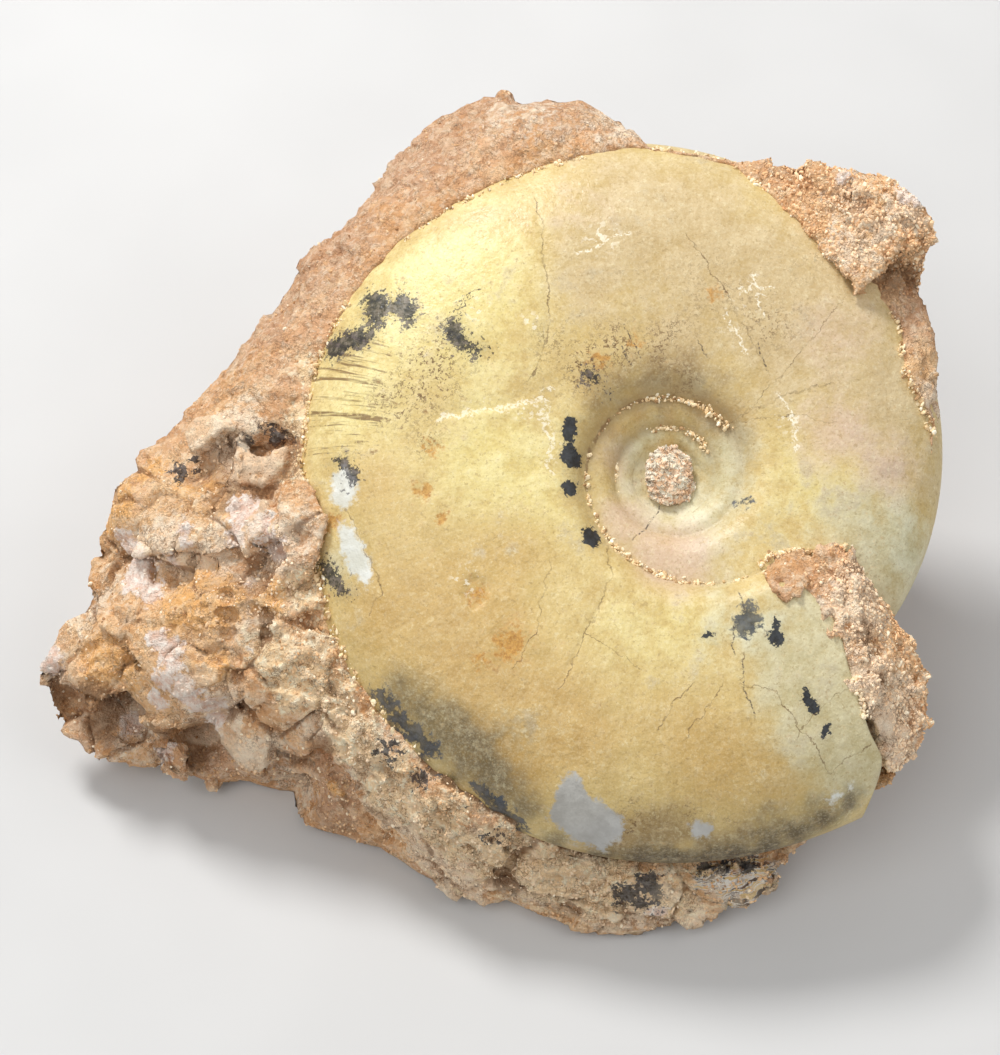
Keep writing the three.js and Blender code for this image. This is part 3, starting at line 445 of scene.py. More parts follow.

# Patches of another mineral or tone in the stone; the sunlit ones are painted light, and the brown ones partly
# painted shade in its hollows: u, v, w, radius
STONE_PATCHES = {
    "ruddy": [
        (-22, 68, -2, 10), (-45, 60, -5, 12), (-60, 45, -6, 12), (-72, 30, -7, 10),
        (-35, 70, -8, 12), (-20, 75, -10, 12), (41, 30, 3, 8), (-58, -55, -12, 8),
        (-100, -38, -17, 8), (-80, -48, -18, 8), (-68, -51, -18, 6), (-94, -25, -6, 5),
        (-98, -33, -7, 5), (-68, -31, 2, 4), (-72, -1, 2, 4), (-76, 3, 1, 4),
    ],
    # Painted light: brighter orange on the lobe, the wedges and the bottom band
    "sunlit": [
        (-84, -10, -2, 12), (-86, -22, -2, 12), (-96, -4, -9, 8), (-98, -28, -8, 10),
        (-72, -24, 3, 9), (-88, -34, -6, 8), (36, -30, 8, 12), (-20, -70, -8, 10),
        (0, -72, -8, 10), (-38, -62, -6, 9), (-78, 8, 0, 8), (34, 40, 12, 12), (46, 15, 5, 8),
        (31, -44, 12, 9), (-24, -70, -10, 8), (-12, -72, -10, 8), (-45, -60, -10, 8),
    ],
    "creamy": [
        (-93.5, -13.2, -5.1, 6), (-86, -12.9, -1.7, 6.5), (-79, -13.9, -0.9, 6),
        (-75, -19.6, 1.5, 5), (-69.5, -20.2, 5.1, 5), (-70.5, -25.8, 2.4, 4),
        (-101, -21, -11, 3.5), (-108, -30, -16, 4), (-95, -39.6, -19.9, 5), (-78, -38.6, -5, 6),
        (-70.7, -45.8, -10.8, 5), (-64.7, -49.2, -23, 5), (-57.7, -41.7, 0.4, 5.5),
        (-51.6, -48.6, 1.1, 6.5), (-46, -58.3, -5.3, 7), (-37.4, -66.5, -10.8, 8.5),
        (-25.4, -66.6, -8.8, 8.5), (-15, -68.3, -8.6, 7), (-33, -62, -3, 6), (-8, -73, -10, 7),
        (0, -73, -10, 6), (-67, -15, 6, 5), (-64, -12, 8, 4), (-66, -21, 5, 4), (-78, 5, -1, 5),
        (-49, -55, -3, 6), (33, 38, 11, 4), (47, 13, 5, 3), (31, -38, 14, 8), (34.8, -44.4, 10, 7),
        (30.7, -23.4, 14.5, 7), (37, -49, 5, 6), (38, -39, 9, 6), (31.7, 47, 11, 3.5),
        (36.3, 41, 13, 3), (41.5, 45.5, 13, 4), (-74.2, 10, 0, 4),
        (-24, 64, 0, 5), (-8, 62, 1, 4),
    ],
    "calcite": [
        (-95.9, -10.2, -6.8, 3.2), (-92.7, -14.7, -6.2, 4.0), (-90, -18.3, -6.4, 2.8),
        (-86.8, -14.6, -3, 1.8), (-72.6, -5.9, 3.1, 3.2), (-69.4, -9.7, 4.6, 3.4),
        (-67, -13.5, 6.2, 2.6), (-73.4, -10.2, 2.7, 2.4), (-87.9, -28, -0.1, 2.2),
        (-84.9, -30.5, -0.3, 2.8), (-86.3, -34.6, -2.5, 2.8), (-82.7, -36.4, -1.5, 3.0),
        (-79.6, -38.6, -4.5, 2.8), (-87.6, -37.6, -6.1, 2.0), (-77.5, -40.8, -8.6, 2.2),
        (-83.1, -8.6, 0.8, 1.5), (-82.6, -11.7, 1, 0.9), (-71.5, -17.3, 3.3, 1.6),
        (-95.3, -40.9, -19.6, 2.2), (-87.7, -45.9, -13.8, 2.2), (-108, -29.4, -15.4, 2.6),
        (-71.4, -29.9, 1.5, 1.6), (30.5, 51.6, 10.6, 1.2), (28.2, 45.1, 12, 0.8),
        (40.9, 47.8, 12.8, 1.6), (43, 46.8, 12.5, 1.4), (-2, -74, -10, 1.8),
    ],
    "banded": [
        (7.2, -68.3, -8.8, 3.0), (9.8, -69.1, -9, 3.2), (12.4, -68.3, -8.6, 3.2),
        (14.9, -67.5, -8.1, 3.0), (17.8, -66.5, -10.2, 2.6), (10.8, -71.6, -10.2, 2.2),
        (14.2, -70.8, -10.1, 2.0), (10, -65.5, -7, 2.4), (15.5, -64.8, -7, 2.0),
    ],
    "black": [
        (-67.9, 7, 0.5, 2.2), (-65.5, 5, 1, 1.5), (-73, 6.5, 0, 1.2), (-81.8, 2.9, -2.4, 1.7),
        (-85, 2.0, -4, 1.2), (-8.6, -71.2, -8.4, 1.6), (-6.6, -70.5, -7.9, 1.7),
        (-3.2, -68.3, -7.3, 1.8), (-2.2, -70.8, -9.3, 1.7), (-2.1, -73.3, -11.4, 1.4),
        (-4.8, -72.5, -8.7, 1.3), (6.3, -65.8, -7.2, 2.0), (9.5, -65.4, -7.2, 1.6),
        (13.2, -65.8, -7.4, 1.6), (-47, -47, 2, 1.8), (-41, -51.5, 2, 2.0),
        (-33.5, -57, 1, 1.4), (-29, -60.5, 0, 1.6),
    ],
    "orange": [
        (-82, -20.2, 0.4, 6), (-77, -21.5, 3, 5), (-95, -2, -7, 4), (-98.5, -5, -10, 3),
        (-98.3, -30.6, -6.4, 4.5), (-94.6, -32.5, -5.2, 4), (-90.7, 2.4, -6.7, 3),
        (-68, -21, 5, 4), (-60, -55, -8, 5),
        (-78, -33, 1, 3), (-81, 1, -1, 4),
    ],
    "gritty": [
        (-67.6, -30.4, 4.6, 5), (-62.7, -35.2, 2.7, 6), (-59.3, -28.6, 4.2, 4),
        (-57.6, -38.6, 2.4, 5), (-53, -45, 0, 5), (-46, -50, 0, 5), (-38, -57, 0, 5),
        (-28, -63, 0, 5), (-20, -68, -6, 6), (-10, -70, -8, 6), (0, -71, -9, 5), (-28, -66, -5, 6),
        (-38, -62, -3, 6), (-48, -55, -2, 6), (-62, 0, 4, 4), (-63, 10, 3, 3.5), (-61, -20, 5, 4), (-62, 19, 2, 3),
    ],
    # Partly brown stone, partly painted shade in the recesses, holes and under the ledges and the overhang
    "brown_and_hollow_shade": [
        (-70.3, -2, 1.2, 2.6), (-76.2, -4, 2.4, 2.0), (-96.6, -38.3, -7.8, 3),
        (-99.2, -39.8, -18.2, 4), (-100.8, -37.5, -7.3, 4), (-107.7, -36, -19.7, 3),
        (-89.3, -43.1, -12.2, 3.6), (-84.3, -44, -20.5, 4), (-81, -43, -12, 3.4),
        (-77, -45.5, -11, 2.6), (-59.2, -46.2, -3, 2.4), (-92.4, -24.5, -6.2, 2.4),
        (-69.3, -28.2, 1.8, 1.4), (34.4, -31, 13.6, 1.4),
        (-63.6, -48, -10, 3), (-50, -58.5, -8, 2), (38.6, 35, 6, 3.2), (42, 35.5, 4, 2.6),
        (36, 33, 6, 1.8), (31.6, -28.2, 13, 1.8), (33.5, -36.5, 12.5, 1.6), (-71, 1, 1, 3),
    ],
}

def from_slab(u, v, w):
    """Slab coordinates to the block's own frame, in millimetres."""
    u, v, w = (np.asarray(value, float)[..., None] for value in (u, v, w))
    return SLAB_ORIGIN + u * ACROSS + v * UPSLOPE + w * OUTWARD


def to_slab(points):
    """The block's own frame to slab coordinates, in millimetres."""
    away = np.asarray(points, float) - SLAB_ORIGIN
    return away @ ACROSS, away @ UPSLOPE, away @ OUTWARD


def make_camera():
    back = np.array([0.0, -math.cos(CAMERA_ELEVATION), math.sin(CAMERA_ELEVATION)])
    data = bpy.data.cameras.new("camera")
    data.lens = CAMERA_LENS
    data.sensor_fit = "VERTICAL"
    data.sensor_height = SENSOR_HEIGHT
    data.clip_start, data.clip_end = 0.01, 20
    camera = bpy.data.objects.new("camera", data)
    camera.location = Vector((CAMERA_TARGET + back * CAMERA_DISTANCE) * MM)
    camera.rotation_euler = (math.pi / 2 - CAMERA_ELEVATION, 0, 0)
    bpy.context.scene.collection.objects.link(camera)
    bpy.context.scene.camera = camera


make_camera()


class Field:
    """A value inside a node tree, so that one formula serves both nodes and plain numbers."""

    def __init__(self, tree, socket):
        self.tree = tree
        self.socket = socket

    def math(self, operation, *others):
        made = self.tree.nodes.new("ShaderNodeMath")
        made.operation = operation
        for place, value in zip(made.inputs, (self, *others)):
            if isinstance(value, Field):
                self.tree.links.new(value.socket, place)
            else:
                place.default_value = float(value)
        return Field(self.tree, made.outputs[0])

    def reversed_math(self, operation, first):
        made = self.tree.nodes.new("ShaderNodeMath")
        made.operation = operation
        made.inputs[0].default_value = float(first)
        self.tree.links.new(self.socket, made.inputs[1])
        return Field(self.tree, made.outputs[0])

    def __add__(self, other): return self.math("ADD", other)
    def __radd__(self, other): return self.math("ADD", other)
    def __sub__(self, other): return self.math("SUBTRACT", other)
    def __rsub__(self, other): return self.reversed_math("SUBTRACT", other)
    def __mul__(self, other): return self.math("MULTIPLY", other)
    def __rmul__(self, other): return self.math("MULTIPLY", other)
    def __truediv__(self, other): return self.math("DIVIDE", other)
    def __rtruediv__(self, other): return self.reversed_math("DIVIDE", other)
    def __pow__(self, other): return self.math("POWER", other)
    def __rpow__(self, other): return self.reversed_math("POWER", other)


def cosine(x): return x.math("COSINE") if isinstance(x, Field) else np.cos(x)
def sine(x): return x.math("SINE") if isinstance(x, Field) else np.sin(x)
def larger(x, y): return x.math("MAXIMUM", y) if isinstance(x, Field) else np.maximum(x, y)
def smaller(x, y): return x.math("MINIMUM", y) if isinstance(x, Field) else np.minimum(x, y)
def blend(x, y, share): return x + (y - x) * share


def smooth_step(low, high, x):
    t = smaller(larger((x - low) / (high - low), 0.0), 1.0)
    return t * t * (3.0 - 2.0 * t)


def ripple(u, v, length, seed, waves=7):
    """Gentle uneven waves between about -1 and 1, some `length` apart."""
    random = np.random.RandomState(seed)
    total = np.zeros(np.broadcast(u, v).shape)
    for _ in range(waves):
        angle, phase = random.uniform(0, 2 * math.pi, 2)
        pitch = 2 * math.pi / (length * random.uniform(0.75, 1.5))
        total += np.sin((u * math.cos(angle) + v * math.sin(angle)) * pitch + phase)
    return total / waves ** 0.5 * 0.8


def around(entries, degrees, column):
    """Value at an angle from a list of (angle, value, ...), read round the full circle."""
    table = np.array(entries, float)
    return np.interp(degrees, table[:, 0], table[:, column], period=360)


def outside_of(u, v, corners):
    """Distance from a polygon, negative inside it."""
    corners = np.array(corners, float)
    nearest = np.full(u.shape, 1e9)
    inside = np.zeros(u.shape, bool)
    for (au, av), (bu, bv) in zip(corners, np.roll(corners, -1, axis=0)):
        du, dv = bu - au, bv - av
        t = np.clip(((u - au) * du + (v - av) * dv) / (du * du + dv * dv), 0, 1)
        nearest = np.minimum(nearest, np.hypot(u - au - t * du, v - av - t * dv))
        crosses = (av > v) != (bv > v)
        inside ^= crosses & (u < (v - av) * du / np.where(dv == 0, 1e-9, dv) + au)
    return np.where(inside, -nearest, nearest)


def beside_lines(u, v, lines):
    """Signed distance across the nearest stretch of some lines, and the plain distance to it."""
    across = np.full(u.shape, 1e3)
    nearest = np.full(u.shape, 1e3)
    for line in lines:
        for (au, av), (bu, bv) in zip(line, line[1:]):
            du, dv = bu - au, bv - av
            length = math.hypot(du, dv)
            t = np.clip(((u - au) * du + (v - av) * dv) / length ** 2, 0, 1)
            plain = np.hypot(u - au - t * du, v - av - t * dv)
            signed = ((u - au) * dv - (v - av) * du) / length
            across = np.where(plain < nearest, signed, across)
            nearest = np.minimum(nearest, plain)
    return across, nearest


def new_tree(name, inputs):
    """An empty Geometry Nodes tree with named inputs; a value's type gives its socket."""
    tree = bpy.data.node_groups.new(name, "GeometryNodeTree")
    tree.interface.new_socket("Geometry", in_out="INPUT", socket_type="NodeSocketGeometry")
    kinds = {int: "NodeSocketInt", float: "NodeSocketFloat", bpy.types.Material: "NodeSocketMaterial"}
    for label, kind in inputs.items():
        tree.interface.new_socket(label, in_out="INPUT", socket_type=kinds[kind])
    tree.interface.new_socket("Geometry", in_out="OUTPUT", socket_type="NodeSocketGeometry")
    return tree, tree.nodes.new("NodeGroupInput"), tree.nodes.new("NodeGroupOutput")


def node(tree, kind, links=(), **settings):
    """A node with its settings, and {input: socket, Field or value} joined up."""
    made = tree.nodes.new(kind)
    for name, value in settings.items():
        setattr(made, name, value)
    for key, value in dict(links).items():
        place = made.inputs[key]
        if isinstance(value, Field):
            tree.links.new(value.socket, place)
        elif isinstance(value, bpy.types.NodeSocket):
            tree.links.new(value, place)
        else:
            place.default_value = value
    return made


def vector_math(tree, operation, *values):
    """A vector node's result; a plain number stands for the scale of SCALE."""
    made = node(tree, "ShaderNodeVectorMath", {}, operation=operation)
    for index, value in enumerate(values):
        place = made.inputs["Scale"] if operation == "SCALE" and index == 1 else made.inputs[index]
        if isinstance(value, Field):
            tree.links.new(value.socket, place)
        elif isinstance(value, bpy.types.NodeSocket):
            tree.links.new(value, place)
        else:
            place.default_value = value
    return made.outputs["Value"] if operation == "DOT_PRODUCT" else made.outputs["Vector"]


def grown_mesh(name, tree, values, mesh=None):
    """The plain mesh that a tree makes of a mesh."""
    holder = bpy.data.objects.new(name, mesh or bpy.data.meshes.new(name))
    bpy.context.scene.collection.objects.link(holder)
    modifier = holder.modifiers.new("grow", "NODES")
    modifier.node_group = tree
    for item in tree.interface.items_tree:
        if item.in_out == "INPUT" and item.name in values:
            modifier[item.identifier] = values[item.name]
    return finished_mesh(holder)


def finished_mesh(holder):
    """Applies an object's modifiers, and keeps only the mesh."""
    bpy.context.view_layer.update()
    seen = holder.evaluated_get(bpy.context.evaluated_depsgraph_get())
    made = bpy.data.meshes.new_from_object(seen)
    made.name = holder.name
    holder.modifiers.clear()
    bpy.data.objects.remove(holder)
    return made


def show(name, mesh, stands_for=None, smooth=True):
    """Puts a finished mesh into the scene as one piece of the fossil."""
    mesh.polygons.foreach_set("use_smooth", [smooth] * len(mesh.polygons))
    piece = bpy.data.objects.new(name, mesh)
    bpy.context.scene.collection.objects.link(piece)
    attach(piece, "root")
    if stands_for:
        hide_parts(stands_for)
    return piece


def points_of(mesh):
    """A mesh's points, in millimetres."""
    flat = np.empty(len(mesh.vertices) * 3, np.float32)
    mesh.vertices.foreach_get("co", flat)
    return flat.reshape(-1, 3).astype(float) / MM


def set_points(mesh, points):
    mesh.vertices.foreach_set("co", (np.asarray(points) * MM).astype(np.float32).ravel())
    mesh.update()


def mark(mesh, name, values):
    """A number on every point of a mesh, for the materials to read."""
    layer = mesh.attributes.get(name) or mesh.attributes.new(name, "FLOAT", "POINT")
    layer.data.foreach_set("value", np.asarray(values, np.float32))


def rim_at(back):
    """Outer radius, so many turns back from the mouth."""
    return RIM_RADIUS * GROWTH ** (back * -1.0)


def seam_at(back):
    """Radius of a whorl's inner edge, which flares at the mouth."""
    flare = MOUTH_FLARE * math.e ** (((larger(back, 0.0) / FLARE_TURNS) ** 1.2) * -1.0)
    return (SEAM_SHARE * SEAM_TIGHTEN ** back + flare) * rim_at(back)


def place_across(back, radius):
    """0 at a whorl's inner edge, 1 at its rim."""
    return (radius - seam_at(back)) / (rim_at(back) - seam_at(back))


def inner_fall(place):
    """How far the side has fallen towards a whorl's inner edge: a gentle slope, then a wall."""
    wall = larger(1.0 - place / INNER_WALL, 0.0) ** 2.2
    return wall * 0.75 + larger(1.0 - place / INNER_SLOPE, 0.0) ** 2.0 * 0.25


def side_height(place, drop):
    """Height of a whorl's side, as a share of its thickest place."""
    t = smaller(larger((place - CREST_PLACE) / (1.0 - CREST_PLACE), 0.0), 1.0)
    return (1.0 - drop * inner_fall(place)) * larger(1.0 - t ** RIM_POWER, 0.0) ** RIM_ROUND


def steady_drop():
    covered = SEAM_SHARE * (GROWTH - 1) / (1 - SEAM_SHARE)
    return (GROWTH - 1) / (GROWTH - inner_fall(covered))


STEADY_DROP = steady_drop()


def seam_drop(back):
    """Drop from a whorl's crest to its inner edge, which rests on the whorl inside it."""
    resting = side_height(place_across(back + 1.0, seam_at(back)), STEADY_DROP) / GROWTH
    return blend(1.0 - resting, STEADY_DROP, smooth_step(0.5, 0.9, back))


def whorl_height(back, place):
    return FULLNESS * rim_at(back) * side_height(place, seam_drop(back))


def split_place(back):
    """Place on a whorl where the whorl outside it begins to cover it."""
    return place_across(back, smaller(seam_at(back - 1.0), 0.5 * rim_at(back)))


def lean_factor(angle, radius):
    """The coil was pressed a little out of round."""
    inside = LEAN_INSIDE[0] * cosine(angle) + LEAN_INSIDE[1] * sine(angle)
    outside = (
        LEAN_ONCE[0] * cosine(angle) + LEAN_ONCE[1] * sine(angle)
        + LEAN_TWICE * cosine(2.0 * angle)
    )
    return 1.0 + blend(inside, outside, smooth_step(LEAN_FROM, LEAN_FULL, radius))


def mouth_sweep(back, place):
    """Turn of the mouth's edge from a straight line, which fades away behind it, in radians."""
    forward = smooth_step(0.0, 0.18, place) * (1.0 - smooth_step(0.3, 0.55, place)) * 4.3
    backward = smooth_step(0.38, 0.82, place) * 5.8 + smooth_step(0.84, 1.04, place) * 7.0
    fade = larger(1.0 - back / 0.12, 0.0) ** 2.0
    return (forward - backward) * fade * math.radians(1.0)


def whorl_under(u, v):
    """Turns back, place across the whorl and whether the shell is there, under a slab point."""
    angle = np.arctan2(v, u)
    leaned = np.hypot(u, v)
    radius = leaned.copy()
    for _ in range(10):
        radius = leaned / lean_factor(angle, radius)
    back = ((MOUTH_ANGLE - angle) / (2 * math.pi)) % 1.0
    beyond = radius > rim_at(back)
    for _ in range(3):
        back = np.where(radius < seam_at(back), back + 1.0, back)
    return back, np.clip(place_across(back, radius), 0.0, 1.0), ~beyond


def shell_height(u, v):
    """Height of the shell's upper side over the slab, and -1 beyond its rim."""
    back, place, there = whorl_under(u, v)
    return np.where(there, whorl_height(back, place), -1.0)


def coil_tree():
    """The shell's four strips, laid along the coil and merged where they meet."""
    tree, given, result = new_tree("ammonite_coil", {
        "Steps per Turn": int, "Turns": float, "Open Turns": float,
        "Shell Material": bpy.types.Material,
    })
    steps = Field(tree, given.outputs["Steps per Turn"])
    joined = node(tree, "GeometryNodeJoinGeometry")
    for side, rows in SHELL_ROWS.items():
        for part, row_count in zip(("covered", "open"), rows):
            length = Field(tree, given.outputs["Turns" if part == "covered" else "Open Turns"])
            grid = node(tree, "GeometryNodeMeshGrid", {
                "Size X": 1.0, "Size Y": 1.0, "Vertices X": length * steps + 1.0,
                "Vertices Y": row_count + 1,
            })
            spot = node(tree, "ShaderNodeSeparateXYZ", {
                0: node(tree, "GeometryNodeInputPosition").outputs[0],
            })
            strip = grid.outputs["Mesh"]
            numbers = {
                "back": (Field(tree, spot.outputs[0]) + 0.5) * length,
                "row": Field(tree, spot.outputs[1]) + 0.5,
                "open": 1.0 if part == "open" else 0.0,
                "side": 1.0 if side == "upper" else -1.0,
            }
            for name, value in numbers.items():
                strip = node(tree, "GeometryNodeStoreNamedAttribute", {
                    "Geometry": strip, "Name": name, "Value": value,
                }, data_type="FLOAT", domain="POINT").outputs[0]
            tree.links.new(strip, joined.inputs[0])

    def stored(name):
        named = node(tree, "GeometryNodeInputNamedAttribute", {"Name": name}, data_type="FLOAT")
        return Field(tree, named.outputs["Attribute"])

    back, row, is_open, side = (stored(name) for name in ("back", "row", "open", "side"))
    split = split_place(back)
    place = blend(row * split, blend(split, 1.0, 1.0 - (1.0 - row) ** 1.45), is_open)
    radius = blend(seam_at(back), rim_at(back), place)
    height = whorl_height(back, place)
    # a covered whorl ends exactly on the inner edge of the whorl outside it
    outer_edge = (1.0 - seam_drop(back - 1.0)) * FULLNESS * rim_at(back - 1.0)
    is_inner = back.math("GREATER_THAN", 0.99999)
    height = height + (outer_edge - whorl_height(back, split)) * row ** 3.0 * is_inner * (
        1.0 - is_open)
    angle = MOUTH_ANGLE - 2.0 * math.pi * back + mouth_sweep(back, place)
    leaned = radius * lean_factor(angle, radius)
    spot = node(tree, "ShaderNodeCombineXYZ", {
        0: leaned * cosine(angle) * MM, 1: leaned * sine(angle) * MM, 2: height * side * MM,
    })
    placed = node(tree, "GeometryNodeSetPosition", {
        "Geometry": joined.outputs[0], "Position": spot.outputs[0],
    })
    merged = node(tree, "GeometryNodeMergeByDistance", {
        "Geometry": placed.outputs[0], "Distance": 0.008 * MM,
    })
    real = node(tree, "GeometryNodeRealizeInstances", {"Geometry": merged.outputs[0]})
    finished = node(tree, "GeometryNodeSetMaterial", {
        "Geometry": real.outputs[0], "Material": given.outputs["Shell Material"],
    })
    tree.links.new(finished.outputs[0], result.inputs[0])
    return tree


def close_holes(mesh):
    """Closes the flat mouth and the middle of the coil, and turns every face outwards."""
    work = bmesh.new()
    work.from_mesh(mesh)
    open_edges = [edge for edge in work.edges if edge.is_boundary]
    bmesh.ops.holes_fill(work, edges=open_edges, sides=0)
    bmesh.ops.triangulate(work, faces=[face for face in work.faces if len(face.verts) > 4])
    bmesh.ops.recalc_face_normals(work, faces=work.faces)
    work.to_mesh(mesh)
    work.free()
    mesh.update()


def wear_shell(u, v, w):
    """Shallow dents, chips and undulations of the shell's upper side."""
    reach = np.hypot(u, v)
    lift = 0.16 * ripple(u, v, 26, 3) + 0.05 * ripple(u, v, 8, 4)
    lift -= 0.45 * smooth_step(0.5, -0.7, outside_of(u, v, CHIP))
    across, near = beside_lines(u, v, [FLAKE_EDGE])
    lift -= 0.22 * smooth_step(3.5, 0.0, near) * smooth_step(0.25, -0.25, across)
    for su, sv, size, depth in SHELL_PITS:
        lift -= depth * np.exp(-((u - su) ** 2 + (v - sv) ** 2) / size ** 2)
    for line in OPEN_CRACKS:
        lift -= 0.16 * np.exp(-(beside_lines(u, v, [line])[1] / 0.55) ** 2)
    lift *= smooth_step(3, 10, reach)
    return np.where(w > 0.05, w + lift * smooth_step(0.0, 3.0, w), w)


def mark_shell(mesh, u, v):
    """Distances to the stains and cracks, and soft colour zones, on every point."""
    for name, shapes in SHELL_BLOTS.items():
        depth = -np.min([outside_of(u, v, shape) for shape in shapes], axis=0)
        mark(mesh, name, np.clip(depth, -8, 8))
    for name, lines in SHELL_LINES.items():
        across, near = beside_lines(u, v, lines)
        mark(mesh, name + "_across", np.clip(across, -3, 3))
        mark(mesh, name + "_near", np.clip(near, 0, 3))
    for name, patches in SHELL_ZONES.items():
        clear = np.ones(len(u))
        for pu, pv, size, strength in patches:
            clear *= 1 - strength * np.exp(-((u - pu) ** 2 + (v - pv) ** 2) / size ** 2)
        mark(mesh, name, 1 - clear)
    back, place, _ = whorl_under(u, v)
    mark(mesh, "place", place)
    mark(mesh, "along", back * 2 * math.pi * RIM_RADIUS)
    radius = np.hypot(u, v) / lean_factor(np.arctan2(v, u), np.hypot(u, v))
    part = back % 1.0
    faded = 0.5 * smooth_step(4, 12, u)
    first, second = (np.abs(radius - seam_at(part + turn)) for turn in (0, 1))
    mark(mesh, "seam_gap", np.clip(first + faded, 0, 4))
    shade = np.maximum(np.exp(-(first / 2.4) ** 2), 0.8 * np.exp(-(second / 1.3) ** 2))
    mark(mesh, "seam_shade", shade * (0.3 + 0.7 * smooth_step(-9, 9, v - 0.3 * u)))


def make_shell(material):
    mesh = grown_mesh("ammonite_shell", coil_tree(), {
        "Steps per Turn": STEPS_PER_TURN, "Turns": TURNS, "Open Turns": 1.0,
        "Shell Material": material,
    })
    close_holes(mesh)
    u, v, w = points_of(mesh).T
    mark_shell(mesh, u, v)
    set_points(mesh, from_slab(u, v, wear_shell(u, v, w)))
    return mesh


def block_mesh():
    """The smooth closed body of the block: a bed under the shell, the face round it, and walls."""
    corners = np.array(OUTLINE, float)
    closed = np.vstack([corners, corners[:1]])
    steps = np.r_[0, np.cumsum(np.linalg.norm(np.diff(closed, axis=0), axis=1))]
    along = np.linspace(0, steps[-1], BLOCK_COLUMNS, endpoint=False)
    u, v, w = (np.interp(along, steps, closed[:, axis]) for axis in range(3))
    reach = np.hypot(u, v)
    degrees = np.degrees(np.arctan2(v, u))
    contact = np.minimum(around(CONTACT, degrees, 1), reach - 1.0)
    contact += 0.35 * ripple(along, 0 * along, 9, 21) + 0.2 * ripple(along, 0 * along, 2.5, 22)
    lip = around(CONTACT, degrees, 2)
    rings = []

    def ring(radius, height):
        rings.append(from_slab(u / reach * radius, v / reach * radius, height))

    on_shell = shell_height(u / reach * contact, v / reach * contact)
    lip = np.where((on_shell > 0.5) & (lip > -2), on_shell + 0.35, lip)
    ring(contact * 0.3, -1.0 + 0 * lip)
    ring(contact * 0.7, -1.0 + 0 * lip)
    ring(contact - 1.8, np.minimum(-1, lip - 1))
    ring(contact - 0.9, np.minimum(lip - 1.5, on_shell - 1.5))
    for share in np.linspace(0, 1, FACE_RINGS):
        radius = blend(contact, reach, share)
        pu, pv = u / reach * radius, v / reach * radius
        height = blend(lip, w, share ** 1.7)
        edge = smooth_step(1.0, 0.75, share) * smooth_step(0.0, 0.12, share)
        for su, sv, size, rise in SWELLINGS:
            height = height + edge * rise * np.exp(-((pu - su) ** 2 + (pv - sv) ** 2) / size ** 2)
        for drop, span, line in LEDGES:
            across, near = beside_lines(pu, pv, [line])
            height = height - drop * smooth_step(-0.4, 0.4, across) * np.exp(-(near / span) ** 2)
        ring(radius, height)
    edge_points = rings[-1]
    wrapped = np.vstack([edge_points[-WALL_SPREAD:], edge_points, edge_points[:WALL_SPREAD]])
    weights = np.hanning(2 * WALL_SPREAD + 1)
    even_points = np.stack([np.convolve(column, weights / weights.sum(), "valid")
                            for column in wrapped.T], axis=1)
    angle = np.arctan2(even_points[:, 1], even_points[:, 0])
    keep_at_base = around(BASE_SHARE, np.degrees(angle), 1)
    keep_at_base += 0.02 * ripple(along, 0 * along, 16, 23) + 0.01 * ripple(along, 0 * along, 5, 24)
    for down in np.linspace(0, 1, WALL_RINGS)[1:]:
        inset = np.interp(down, [0] + [step[0] for step in WALL_STEPS],
                          [0] + [step[1] for step in WALL_STEPS])
        wave = np.sin(5 * angle + 7 * down + 2 * np.sin(3 * angle)) + 1
        hollow = wave * WALL_HOLLOWS * (1 - down) * min(1, down * 5)
        keep = 1 - (1 - keep_at_base) * inset - hollow
        x, y, z = blend(edge_points, even_points, smooth_step(0, 0.3, down)).T
        rings.append(np.stack([x * keep, y * keep, z * (1 - down)], axis=1))
    points = np.vstack(rings + [from_slab(0.0, 0.0, -1.0).reshape(1, 3), np.zeros((1, 3))])
    count, ring_count = BLOCK_COLUMNS, len(rings)
    here = np.arange(count)
    after = (here + 1) % count
    faces = []
    for j in range(ring_count - 1):
        faces += np.stack([j * count + here, (j + 1) * count + here,
                           (j + 1) * count + after, j * count + after], axis=1).tolist()
    last = (ring_count - 1) * count
    faces += np.stack([here, after, np.full(count, ring_count * count)], axis=1).tolist()
    faces += np.stack([last + after, last + here, np.full(count, ring_count * count + 1)],
                      axis=1).tolist()
    mesh = bpy.data.meshes.new("block")
    mesh.from_pydata((points * MM).tolist(), [], faces)
    return mesh


def fused(name, bodies, lumps, voxel):
    """One closed skin over meshes and over the hulls of corner points, which may overlap."""
    work = bmesh.new()
    for body in bodies:
        work.from_mesh(body)
    for corners in lumps:
        corner_points = from_slab(*np.array(corners, float).T) * MM
        found = [work.verts.new(point) for point in corner_points]
        hull = bmesh.ops.convex_hull(work, input=found)
        bmesh.ops.delete(
            work, geom=[v for v in hull["geom_interior"] if isinstance(v, bmesh.types.BMVert)],
            context="VERTS")
    bmesh.ops.recalc_face_normals(work, faces=work.faces)
    mesh = bpy.data.meshes.new(name)
    work.to_mesh(mesh)
    work.free()
    holder = bpy.data.objects.new(name, mesh)
    bpy.context.scene.collection.objects.link(holder)
    skin = holder.modifiers.new("skin", "REMESH")
    skin.mode = "VOXEL"
    skin.voxel_size = voxel * MM
    skin.use_smooth_shade = True
    return finished_mesh(holder)


